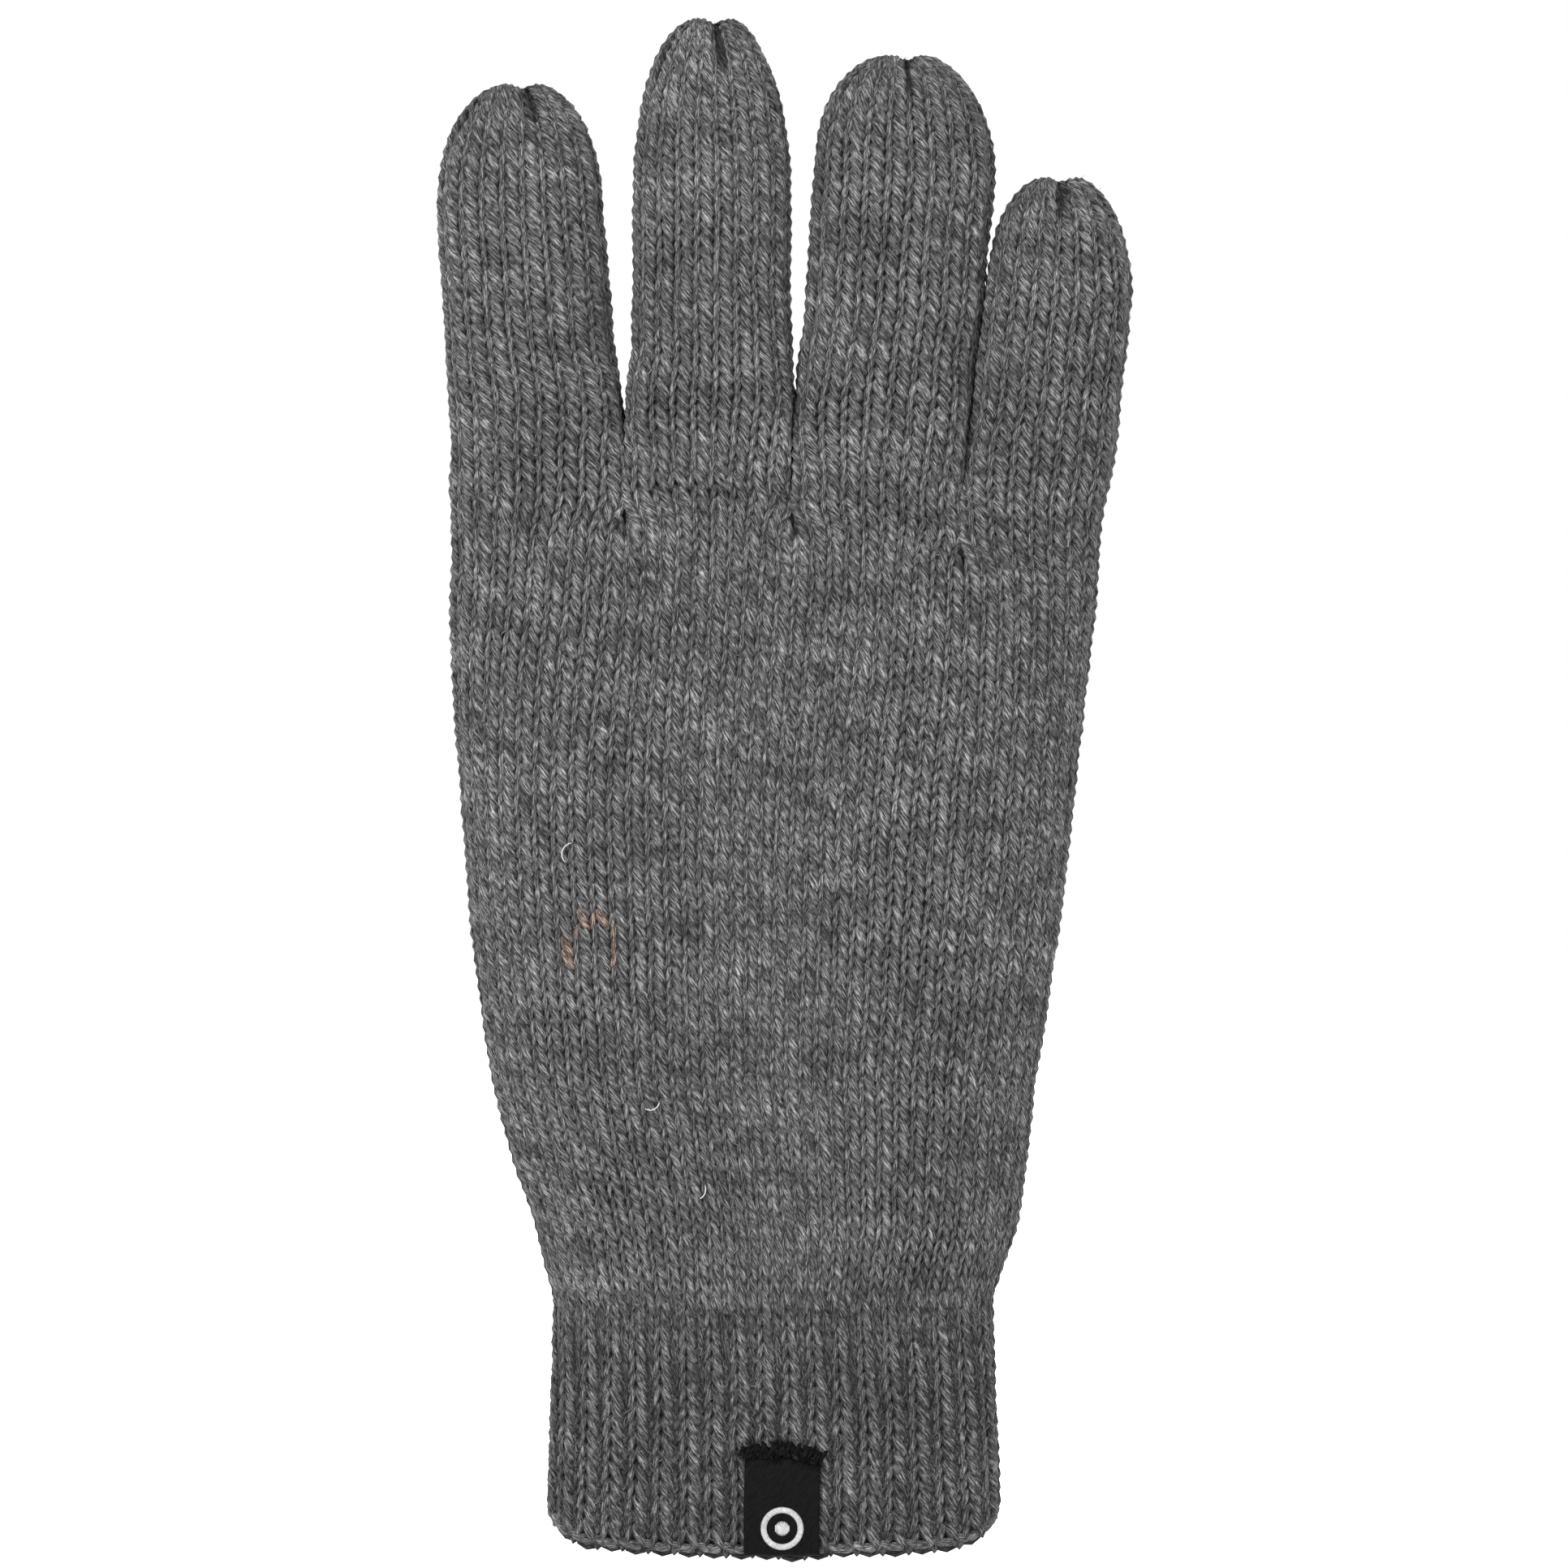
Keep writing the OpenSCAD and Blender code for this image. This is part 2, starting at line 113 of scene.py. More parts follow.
# Lowest point of the folded label, and how far its mark sits over the middle of the CAD's
LABEL_LOW, MARK_RAISE = 2.3, 1.5
# Long loose fibres: x, z, direction, length and curl
STRAYS = ((-33.0, 114.0, 1.4, 4.0, -2.2), (-19.0, 73.5, 0.3, 3.0, 2.0), (-11.0, 60.0, 1.1, 2.6, 1.5))
# Height over which the hand's wales spread to line up with the fingers
FAN_LEN = 55.0
# Short loose fibres on each sixth of the hand, each face of the cuff and each half of a digit
HAND_FIBRES, CUFF_FIBRES, DIGIT_FIBRES = 1000, 800, 450
# The way out of the back of the glove, towards the camera
OUTWARD = (0.0, -1.0, 0.0)


# ---- Small helpers ----
def smooth(t):
    t = np.clip(t, 0, 1)
    return t * t * (3 - 2 * t)


def spow(v, p):
    return np.sign(v) * np.abs(v) ** p


def mix(a, b, t):
    return a + (b - a) * t


def unit(v):
    return v / np.maximum(np.linalg.norm(v, axis=-1, keepdims=True), 1e-9)


# ---- Reading sizes from the CAD frame ----
def cad_edges(names):
    """Both ends of every edge of some CAD nodes, as an array (edges, 2, 3)."""
    found = []
    for name in names:
        mesh = frame["nodes"][name].data
        points = np.empty(len(mesh.vertices) * 3)
        mesh.vertices.foreach_get("co", points)
        ends = np.empty(len(mesh.edges) * 2, int)
        mesh.edges.foreach_get("vertices", ends)
        found.append(points.reshape(-1, 3)[ends.reshape(-1, 2)] / MM)
    return np.concatenate(found)


def cut(edges, z):
    """Left, right, front and back of a level cut through CAD edges at height z."""
    lo, hi = edges[:, :, 2].min(1), edges[:, :, 2].max(1)
    crossing = (lo <= z) & (hi >= z) & (hi - lo > 1e-6)
    a, b = edges[crossing, 0], edges[crossing, 1]
    p = a + (b - a) * ((z - a[:, 2]) / (b[:, 2] - a[:, 2]))[:, None]
    return np.array([p[:, 0].min(), p[:, 0].max(), p[:, 1].min(), p[:, 1].max()])


def joint(name):
    found = next(j for j in frame["joints"] if j["name"] == name)
    return np.array(found["pos_m"]) / MM, np.array(found["axis"])


def node_middle(name):
    lo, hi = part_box(name)
    return np.array((lo + hi) / 2) / MM


def box_mm(name):
    """The lowest and highest corner of a CAD node."""
    return [np.array(corner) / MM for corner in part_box(name)]


# ---- Surfaces as grids of points ----
class Surface:
    """A closed tube of cloth: rows of points up it and columns round it."""

    def __init__(self, rows):
        self.points = np.array(rows)
        du = np.roll(self.points, -1, 1) - np.roll(self.points, 1, 1)
        dv = np.gradient(self.points, axis=0)
        self.normals = unit(np.cross(du, dv))
        self.girth = np.linalg.norm(np.roll(self.points, -1, 1) - self.points, axis=2).sum(1)
        reach = 4
        beside = (np.roll(self.points, -reach, 1) + np.roll(self.points, reach, 1)) / 2
        self.hollow = ((beside - self.points) * self.normals).sum(-1)

    def at(self, u, v):
        """Points and normals at u, in turns round it, and v, in rows up it, or a little past its ends."""
        n_v, n_u = self.points.shape[:2]
        x = (u % 1.0) * n_u
        i = np.floor(x).astype(int) % n_u
        j = np.clip(np.floor(v).astype(int), 0, n_v - 2)
        fx, fy = (x - np.floor(x))[..., None], (v - j)[..., None]
        k = (i + 1) % n_u
        out = []
        for grid in (self.points, self.normals):
            low = mix(grid[j, i], grid[j, k], fx)
            high = mix(grid[j + 1, i], grid[j + 1, k], fx)
            out.append(mix(low, high, fy))
        return out[0], unit(out[1])

    def hollow_at(self, u, v):
        """How far the cloth is folded in, from 0 where it is flat or round to 1 in a sharp fold."""
        n_v, n_u = self.hollow.shape
        i = np.round((u % 1.0) * n_u).astype(int) % n_u
        j = np.clip(np.round(v).astype(int), 0, n_v - 1)
        return smooth(self.hollow[j, i] / 0.4)

    def girth_at(self, v):
        return np.interp(v, np.arange(len(self.girth)), self.girth)


def lengths_along(line):
    return np.concatenate([[0], np.cumsum(np.linalg.norm(np.diff(line, axis=0), axis=1))])


def points_along(line, at):
    along = lengths_along(line)
    return np.stack([np.interp(at, along, line[:, k]) for k in range(line.shape[1])], axis=1)


def even_line(points, count, closed=True):
    """Points spread evenly along a line, without its last point."""
    line = np.concatenate([points, points[:1]]) if closed else points
    return points_along(line, np.linspace(0, lengths_along(line)[-1], count, endpoint=False))


def half_section(left, right, depth, powers, face):
    """The front (0) or back (1) of a section, with its own roundness at the left and the right edge.

    The front runs from the left edge to the right one, and the back runs on from there.
    """
    angles = math.pi * (np.linspace(0, 1, HALF_POINTS) + face - 1)
    power = np.where(np.cos(angles) < 0, powers[0], powers[1])
    x = (left + right) / 2 + (right - left) / 2 * spow(np.cos(angles), 2 / power)
    y = depth * spow(np.sin(angles), 2 / power)
    return np.stack([x, y], 1)


def section(left, right, mid_y, depth, power):
    """x and y round a closed section, from its left edge by way of the front."""
    count = 2 * (HALF_POINTS - 1)
    angles = 2 * math.pi * (np.linspace(0, 1, count, endpoint=False) - 0.5)
    x = (left + right) / 2 + (right - left) / 2 * spow(np.cos(angles), 2 / power)
    y = mid_y + depth * spow(np.sin(angles), 2 / power)
    return np.stack([x, y], 1)


# ---- Digits ----
FINGERS = ("index", "middle", "ring", "little")
WEBS = [node_middle(n)[0] for n in ("web_index_middle", "web_middle_ring", "web_ring_little")]


class Digit:
    """Sizes of one finger or the thumb, read from its CAD nodes and joints."""

    def __init__(self, name):
        self.name = name
        self.is_thumb = name == "thumb"
        self.root_pos, _ = joint("thumb_swing" if self.is_thumb else name + "_root")
        self.bend_pos, axis = joint(name + "_bend")
        self.tilt = math.atan2(axis[2], -axis[0])
        parts = ("_root_band", "_lower_tube", "_knuckle_band", "_upper_tube")
        edges = self.local(cad_edges([name + part for part in parts]))
        self.tip = edges[:, :, 2].max() + TIP_OVER
        self.dome = DOMES[name]
        self.dome_low = self.tip - self.dome
        self.root = self.local(self.root_pos)[2]
        self.levels = np.linspace(self.root - 2, self.dome_low, 14)
        cuts = np.array([cut(edges, z) for z in self.levels])
        self.cuts = cuts
        self.depth = (cuts[:, 3].max() - cuts[:, 2].min()) / 2
        self.mid_y = (cuts[:, 3].max() + cuts[:, 2].min()) / 2
        self.wales = 2 * FACE_WALES[name]

    def local(self, points):
        """Points in the digit's own upright frame, with its middle joint at the origin."""
        p = np.asarray(points, float) - self.bend_pos
        c, s = math.cos(self.tilt), math.sin(self.tilt)
        return np.stack([p[..., 0] * c - p[..., 2] * s, p[..., 1], p[..., 0] * s + p[..., 2] * c], -1)

    def row(self, points):
        """The way back from the digit's own frame."""
        p = np.asarray(points, float)
        c, s = math.cos(self.tilt), math.sin(self.tilt)
        turned = np.stack([p[..., 0] * c + p[..., 2] * s, p[..., 1], -p[..., 0] * s + p[..., 2] * c], -1)
        return turned + self.bend_pos

    def edge(self, h, side):
        """Where its left (0) or right (1) edge is at its own height h."""
        return np.interp(np.minimum(h, self.dome_low), self.levels, self.cuts[:, side])


digits = {name: Digit(name) for name in (*FINGERS, "thumb")}
fingers = [digits[name] for name in FINGERS]

# The hand's outline, cut at even heights
hand_edges = cad_edges(["hand_back", "hand_palm"])
HAND_LOW, HAND_HIGH = (c.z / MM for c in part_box("hand_back"))
HAND_Z = np.linspace(HAND_LOW + 0.05, HAND_HIGH - 10, 48)
HAND_CUTS = np.array([cut(hand_edges, z) for z in HAND_Z])


def hand_cut(z, k):
    return np.interp(z, HAND_Z, HAND_CUTS[:, k])


def meet_x(k, z):
    """The line along which finger k lies against the next one."""
    a, b = fingers[k], fingers[k + 1]
    right_of_a = a.edge(z - a.bend_pos[2], 1) + a.bend_pos[0]
    return (right_of_a + b.edge(z - b.bend_pos[2], 0) + b.bend_pos[0]) / 2


def seam_line():
    """The line where the fingers leave the hand: x and height, from its left edge."""
    roots = [f.root_pos[2] - ROOT_REACH - 0.5 for f in fingers]
    xs, zs = [hand_cut(roots[0], 0), fingers[0].root_pos[0]], [roots[0], roots[0]]
    for k in range(3):
        near, far = roots[k], roots[k + 1]
        xs += [WEBS[k], fingers[k + 1].root_pos[0]]
        zs += [0.3 * max(near, far) + 0.7 * min(near, far), far]
    xs.append(hand_cut(roots[3], 1))
    zs.append(roots[3])
    fine = np.linspace(xs[0], xs[-1], 211)
    heights = np.interp(fine, xs, zs)
    padded = np.pad(heights, 10, "edge")
    return fine, np.convolve(padded, np.hanning(21) / np.hanning(21).sum(), "valid")


SEAM_X, SEAM_Z = seam_line()
LOBES = np.array([SEAM_X[0], *WEBS, SEAM_X[-1]])


def seam(x):
    return np.interp(x, SEAM_X, SEAM_Z)


def to_side(line, along, depth):
    """How far along a line it is from its start, at the edge, to where it lies nearly flat."""
    start = slice(0, HALF_POINTS // 2)
    return np.interp(0.9, np.abs(line[start, 1]) / depth, along[start])


def finger_face(k, face, left, right, power, spread):
    """One face of finger k as a row of points.

    Where it leaves the hand (spread 0) half a wale covers each side that touches a neighbour,
    and the rest lies across the face; further up (spread 1) the wales are all as wide.
    """
    touching = (k > 0, k < 3)
    powers = [power if touch else HAND_ROUND for touch in touching]
    line = half_section(left, right, fingers[k].depth, powers, face)
    along = lengths_along(line)
    if face == 1:
        touching = touching[::-1]
    wales = FACE_WALES[FINGERS[k]]
    side = to_side(line, along, fingers[k].depth)
    other = along[-1] - to_side(line[::-1], along[-1] - along[::-1], fingers[k].depth)
    knots = [(0.0, 0.0)]
    knots += [(0.5, side)] if touching[0] else []
    knots += [(wales - 0.5, other)] if touching[1] else []
    knots.append((wales, along[-1]))
    at = np.arange(wales * COLUMNS_PER_WALE) / COLUMNS_PER_WALE
    gathered = np.interp(at, *zip(*knots))
    return points_along(line, mix(gathered, at / wales * along[-1], spread))


def drawn_over(k, left, right, share=(1.0, 1.0)):
    """The edges of finger k where it is drawn against its neighbours, a little over them."""
    left = left - DRAWN_BY * share[0] * (k > 0)
    return left, right + DRAWN_BY * share[1] * (k < 3)


def fanned_line(ring, shares, fan):
    """Points round the hand, evenly spread (fan 0) or lined up with the fingers (fan 1)."""
    faces = []
    front, back = ring[:HALF_POINTS], np.concatenate([ring[HALF_POINTS - 1 :], ring[:1]])
    for half, webs in ((front, WEBS), (back, WEBS[::-1])):
        along = lengths_along(half)
        order = 1 if half[0, 0] < half[-1, 0] else -1
        marks = np.interp(order * np.array(webs), order * half[:, 0], along)
        steps = shares if order == 1 else 1 - shares[::-1]
        at = np.linspace(0, 1, HAND_WALES // 2 * COLUMNS_PER_WALE, endpoint=False)
        lined = np.interp(at, steps, [0, *marks, along[-1]])
        # The wales are a little narrower round the sides of the hand
        even = (at - 0.022 * np.sin(4 * math.pi * at) / 2) * along[-1]
        faces.append(points_along(half, mix(even, lined, fan)))
    return np.concatenate(faces)


def hand_surface():
    """The hand from the cuff up, whose top row breaks into the four finger roots."""
    low, mean = HAND_LOW, SEAM_Z.mean()
    count = int(round((mean - low) / HAND_COURSE))
    # Round the hand: the fronts of the fingers from the index, then their backs from the little one
    roots = np.concatenate([
        finger_face(k, face, *drawn_over(k, LOBES[k], LOBES[k + 1]), ROOT_ROUND, 0)
        for face, order in ((0, (0, 1, 2, 3)), (1, (3, 2, 1, 0)))
        for k in order
    ])
    fold = 8.0
    shares = np.cumsum([0] + [FACE_WALES[name] for name in FINGERS]) / (HAND_WALES / 2)
    rows = []
    for v in np.linspace(0, 1, count * ROWS_PER_COURSE + 1):
        left = hand_cut(mix(low, SEAM_Z[0], v), 0)
        right = hand_cut(mix(low, SEAM_Z[-1], v), 1)
        left, right = mix(left, SEAM_X[0], v**8), mix(right, SEAM_X[-1], v**8)
        ring = section(left, right, 0, 1, HAND_ROUND)
        depth = hand_cut(mix(low, seam(ring[:, 0]), v), 3)
        ring[:, 1] *= depth
        fan = smooth(1 - (1 - v) * (mean - low) / FAN_LEN)
        ring = fanned_line(ring, shares, fan)
        share = smooth(1 - (1 - v) * (mean - low) / fold) ** 1.4
        ring = mix(ring, roots, share)
        z = mix(low, seam(ring[:, 0]), v)
        rows.append(np.column_stack([ring, z]))
    return Surface(rows), count


RIB_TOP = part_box("cuff_rib")[1].z / MM
CUFF_TOP = RIB_TOP + CUFF_LAP


def cuff_surface():
    """The cuff, from a hem that rises towards its sides to a little past the top of its CAD."""
    edges = cad_edges(["cuff_rib", "cuff_hem"])
    low, high = cut(edges, 5), cut(edges, RIB_TOP - 1)
    count = int(round((CUFF_TOP - HEM_LOW) / CUFF_COURSE))
    rows = []
    for v in np.linspace(0, 1, count * ROWS_PER_COURSE + 1):
        left, right, depth = (mix(low[k], high[k], v) for k in (0, 1, 3))
        ring = even_line(section(left, right, 0, depth, HAND_ROUND), HAND_WALES * COLUMNS_PER_WALE)
        across = np.abs(ring[:, 0] / right)
        lift = HEM_LOW + HEM_CURVE * across**2 + HEM_CORNER * across**14
        rows.append(np.column_stack([ring, mix(lift, CUFF_TOP, v)]))
    return Surface(rows), count


def tip_profile(d, base):
    """Heights up a digit and the share of its width that is left at each, evenly along the cloth."""
    angles = np.linspace(0, math.pi / 2, 80)[1:]
    straight = np.linspace(base, d.dome_low, 60)
    heights = np.concatenate([straight, d.dome_low + d.dome * np.sin(angles) ** (2 / DOME_ROUND)])
    shares = np.concatenate([np.ones(60), np.cos(angles) ** (2 / DOME_ROUND)])
    half = (d.cuts[-1, 1] - d.cuts[-1, 0]) / 2
    along = np.concatenate([[0], np.cumsum(np.hypot(np.diff(heights), np.diff(shares) * half))])
    count = int(round(along[-1] / FINGER_COURSE))
    at = np.linspace(0, along[-1], count * ROWS_PER_COURSE + 1)
    return np.interp(at, along, heights), np.interp(at, along, shares), count, half


def closed_tip(ring, share, half, mid, phase):
    """Draws a ring in towards the tip, with soft folds running out of the drawn thread."""
    gather = 1.0 / half
    narrow = gather + (1 - gather) * share
    flat = gather + (1 - gather) * share**0.8
    turn = np.arctan2(ring[:, 1] - mid[1], (ring[:, 0] - mid[0]) * 0.5)
    closing = smooth((1 - share) / 0.85)
    folds = (0.5 + 0.5 * np.cos(5 * turn + phase)) ** 5
    pull = 1 - TIP_FOLD * closing * folds
    x = mid[0] + (ring[:, 0] - mid[0]) * narrow * pull
    y = mid[1] + (ring[:, 1] - mid[1]) * flat * pull
    notch = np.exp(-(((x - mid[0] - 0.4) / 1.3) ** 2)) * smooth((0.6 - share) / 0.4)
    sink = 1.5 * smooth((0.28 - share) / 0.28) + 0.7 * notch
    return np.column_stack([x, y]), sink


def finger_surface(k):
    """A finger's cloth, from the hand's seam to its tip, and how many courses it has."""
    d = fingers[k]
    base = seam((LOBES[k] + LOBES[k + 1]) / 2) - d.bend_pos[2]
    heights, shares, count, half = tip_profile(d, base)
    rows = []
    for h, share in zip(heights, shares):
        up = h - base
        z = h + d.bend_pos[2]
        sides, drawn = [], []
        for side, other in ((0, k - 1), (1, k)):
            own = d.edge(h, side)
            if 0 <= other <= 2:
                meeting = mix(LOBES[k + side], meet_x(other, z), smooth(up / 8)) - d.bend_pos[0]
                sides.append(mix(meeting, own, np.clip((z - MEETS[other]) / 14, 0, 1)))
                drawn.append(smooth((DRAWN_TO[other] + 5 - z) / 6))
            else:
                sides.append(mix(LOBES[k + side] - d.bend_pos[0], own, smooth(up / 14)))
                drawn.append(0.0)
        left, right = drawn_over(k, *sides, drawn)
        power = mix(ROOT_ROUND, FINGER_ROUND, smooth((up - 3) / 19) ** 0.6)
        ring = np.concatenate([finger_face(k, face, left, right, power, smooth(up / 20)) for face in (0, 1)])
        ring, sink = closed_tip(ring, share, half, ((left + right) / 2, 0.0), 0.3 + 0.4 * k)
        local_z = h - sink + (seam(ring[:, 0] + d.bend_pos[0]) - d.bend_pos[2] - base) * smooth(1 - up / 14)
        rows.append(d.row(np.column_stack([ring, local_z])))
    return Surface(rows), count


def thumb_surface():
    """The thumb's cloth: a gusset that rises out of the palm, then a tube lying over the palm."""
    d = digits["thumb"]
    mouth = d.root - 4
    heights, shares, count, half = tip_profile(d, mouth - GUSSET_LEN)
    palm_at = hand_cut(d.root_pos[2] - GUSSET_LEN, 3) - 3.2
    rows = []
    for h, share in zip(heights, shares):
        rise = smooth((h - mouth + GUSSET_LEN) / GUSSET_LEN)
        left, right = d.edge(h, 0), d.edge(h, 1)
        middle = (left + right) / 2
        width = (right - left) / 2 * mix(0.5, 1.0, rise**0.6)
        depth = mix(1.2, d.depth, rise)
        mid_y = mix(palm_at - d.bend_pos[1], THUMB_CLEAR, rise)
        ring = section(middle - width, middle + width, mid_y, depth, FINGER_ROUND)
        ring = even_line(ring, d.wales * COLUMNS_PER_WALE)
        ring, sink = closed_tip(ring, share, half, (middle, mid_y), 0.4)
        points = d.row(np.column_stack([ring, np.full(len(ring), h - sink)]))
        # Below its mouth the gusset runs straight down the palm
        straighten = max(0.0, mouth - h)
        points[:, 0] += math.sin(d.tilt) * straighten
        points[:, 2] -= (1 - math.cos(d.tilt)) * straighten
        rows.append(points)
    return Surface(rows), count


# ---- Yarn ----
def tube_ring(path, normal, radius, sides, closed):
    """Points round a yarn that follows path: (..., points, sides, 3)."""
    if closed:
        tangent = unit(np.roll(path, -1, -2) - np.roll(path, 1, -2))
    else:
        tangent = unit(np.gradient(path, axis=-2))
    across = unit(np.cross(tangent, normal))
    out = np.cross(across, tangent)
    a = np.arange(sides) * 2 * math.pi / sides
    ring = across[..., None, :] * np.cos(a)[:, None] + out[..., None, :] * np.sin(a)[:, None]
    return path[..., None, :] + ring * np.asarray(radius)[..., None, None]


def skin(lo, hi):
    """Four-sided faces between rings of points, whose points are the last axis."""
    return np.stack([lo, hi, np.roll(hi, -1, -1), np.roll(lo, -1, -1)], -1)


def noise_grid(rng, courses, wales, blur):
    """Smooth random numbers for each stitch that close round the tube."""
    g = rng.normal(size=(courses, wales))
    for _ in range(blur):
        g = (g + np.roll(g, 1, 1) + np.roll(g, -1, 1)) / 3
        padded = np.pad(g, ((1, 1), (0, 0)), "edge")
        g = (padded[:-2] + padded[1:-1] + padded[2:]) / 3
    return g / max(g.std(), 1e-6)


class Knit:
    """Courses of yarn laid on a surface, ready to be cut into pieces."""

    def __init__(self, surface, courses, wales, seed, skew=0.1, rib=False, steps=12, sides=6):
        rng = np.random.default_rng(seed)
        self.surface, self.courses, self.wales, self.seed = surface, courses, wales, seed
        self.steps, self.sides = steps, sides
        t = np.linspace(0, 2 * math.pi, steps, endpoint=False)
        c = np.arange(courses)[:, None, None]
        w = np.arange(wales)[None, :, None]
        shift, lift, fat = (noise_grid(rng, courses, wales, 1)[:, :, None] for _ in range(3))
        x = w + t / (2 * math.pi) + 0.25 * np.sin(2 * t) - skew * np.cos(t) + 0.03 * shift
        y = c + 0.5 + 0.98 * np.cos(t) + 0.05 * lift
        out = np.broadcast_to(-np.cos(2 * t), x.shape)
        level = y * ROWS_PER_COURSE
        wale = surface.girth_at(level) / wales
        course = np.linalg.norm(np.diff(surface.points, axis=0), axis=2).mean() * ROWS_PER_COURSE
        radius = np.minimum(YARN_OF_WALE * wale, YARN_OF_COURSE * course)
        sink = -1.35 * radius
        if rib:
            # Knit wales spread over the purl wales, which sink into grooves, the more the lower down
            ribbing = mix(RIB_AT_TOP, 1.0, smooth((courses - 1 - c) / 8))
            phase = x / 2 - np.floor(x / 2)
            x = mix(x, 2 * (np.floor(x / 2) + np.interp(phase, [0, 0.5, 1], [0, 0.88, 1])), ribbing)
            groove = (0.5 + 0.5 * np.cos(2 * math.pi * (phase - 0.75))) * ribbing
            radius = mix(radius, RIB_YARN, ribbing) * mix(1.05, 0.75, groove)
            sink = -1.35 * radius - 0.3 * groove
            out = out * mix(1.0, np.where(w % 2 == 1, -0.4, 0.8), ribbing)
        radius = radius * (1 + 0.07 * fat) * (1 - 0.16 * np.sin(t))
        p, n = surface.at(x / wales, level)
        path = p + n * (sink + 0.66 * out * radius)[..., None]
        self.path = path.reshape(courses, wales * steps, 3)
        self.normal = n.reshape(courses, wales * steps, 3)
        self.radius = np.maximum(np.broadcast_to(radius, x.shape), 0.22).reshape(courses, wales * steps)
        self.tube = tube_ring(self.path, self.normal, self.radius, sides, closed=True)
        # Painted shade for the yarn's colour: darker on the side of the yarn that faces into the cloth,
        # where the yarn sinks in, and where the cloth is folded
        facing = 0.5 + 0.5 * np.sin(np.arange(sides) * 2 * math.pi / sides)
        raised = 0.5 + 0.5 * np.broadcast_to(out, x.shape).reshape(courses, wales * steps)
        fold = surface.hollow_at(x / wales, level).reshape(courses, wales * steps, 1)
        self.open = (0.4 * raised[..., None] + 0.6 * facing) * (1 - 0.38 * fold)

    def strand(self):
        """Along the yarn and round it with its twist, in mm, then its course, and how open it lies, which is
        painted shade on its colour.
        """
        step = np.linalg.norm(np.roll(self.path, -1, 1) - self.path, axis=2)
        along = np.concatenate([np.zeros((self.courses, 1)), np.cumsum(step, 1)[:, :-1]], 1)
        around = np.arange(self.sides) / self.sides * 2 * math.pi * self.radius.mean()
        out = np.empty((*self.tube.shape[:3], 4))
        out[..., 3] = self.open
        out[..., 0] = along[..., None]
        out[..., 1] = around - 0.22 * along[..., None]
        out[..., 2] = (np.arange(self.courses) * 7.31 + self.seed * 3.7)[:, None, None]
        return out

    def part(self, keep):
        """Points, faces and yarn coordinates of the legs where keep, (courses, 2 x wales), is true."""
        index = np.arange(self.tube[..., 0].size).reshape(self.tube.shape[:3])
        faces = skin(index, np.roll(index, -1, 1))
        faces = faces[np.repeat(keep, self.steps // 2, axis=1)].reshape(-1, 4)
        used, compact = np.unique(faces, return_inverse=True)
        return self.tube.reshape(-1, 3)[used], compact.reshape(-1, 4), self.strand().reshape(-1, 4)[used]

    def legs(self, low, high, face=None):
        """Which legs, (courses, 2 x wales), are in some courses, on the front (0), the back (1) or both."""
        keep = np.zeros((self.courses, 2 * self.wales), bool)
        side = slice(None) if face is None else slice(face * self.wales, (face + 1) * self.wales)
        keep[low:high, side] = True
        return keep

    def leg_middles(self):
        """The middle of each leg, (courses, 2 x wales, 3)."""
        middle = self.path.reshape(self.courses, 2 * self.wales, self.steps // 2, 3)
        return middle[:, :, self.steps // 4]


def backing(surface, rows, depth=LINING, hem=False):
    """A soft inner face behind the stitches, so that no light comes through."""
    points, normals = surface.points[rows][:, ::2], surface.normals[rows][:, ::2]
    depths = np.full(len(points), depth)
    if hem:
        # At a free edge it turns out to meet the yarn
        depths[:4] = mix(HEM_LINING, depth, np.linspace(0, 1, 4) ** 0.5)
    pts = points - normals * depths[:, None, None]
    n_v, n_u = pts.shape[:2]
    index = np.arange(n_v * n_u).reshape(n_v, n_u)
    a, b = index[:-1], index[1:]
    faces = np.stack([a, np.roll(a, -1, 1), np.roll(b, -1, 1), b], -1).reshape(-1, 4)
    return pts.reshape(-1, 3), faces, None


def fibres(surface, rows, count, rng, turns=(0.0, 1.0)):
    """Short loose fibres lying on the cloth."""
    steps, sides = 5, 3
    v = rng.uniform(rows[0] + 1, rows[1] - 1, count)
    u = rng.uniform(*turns, count)
    p, n = surface.at(u, v)
    ahead, _ = surface.at(u, v + 0.5)
    up = unit(ahead - p)
    side = unit(np.cross(up, n))
    heading = rng.choice([-1, 1], count) * rng.normal(0.5, 0.3, count)
    length = rng.uniform(1.0, 2.6, count)
    length[: count // 40] *= 2.2
    curl = rng.normal(0, 0.45, count)
    stand = np.abs(rng.normal(0, 0.12, count))
    t = np.linspace(-0.5, 0.5, steps)[None, :]
    turn = heading[:, None] + curl[:, None] * t * 2
    forward, sideways = length[:, None] * t * np.cos(turn), length[:, None] * t * np.sin(turn)
    height = -0.16 + stand[:, None] * (1 - (2 * t) ** 2) - 0.5 * (2 * t) ** 4
    path = p[:, None] + up[:, None] * forward[..., None] + side[:, None] * sideways[..., None]
    path = path + n[:, None] * height[..., None]
    thick = rng.uniform(0.03, 0.055, count)[:, None] * (1 - 0.9 * (2 * t) ** 2)
    verts = tube_ring(path, np.repeat(n[:, None], steps, 1), thick, sides, closed=False)
    index = np.arange(count * steps * sides).reshape(count, steps, sides)
    faces = skin(index[:, :-1], index[:, 1:]).reshape(-1, 4)
    tone = np.repeat(rng.random(count), steps * sides)
    return verts.reshape(-1, 3), faces, np.stack([tone, tone, tone], 1)


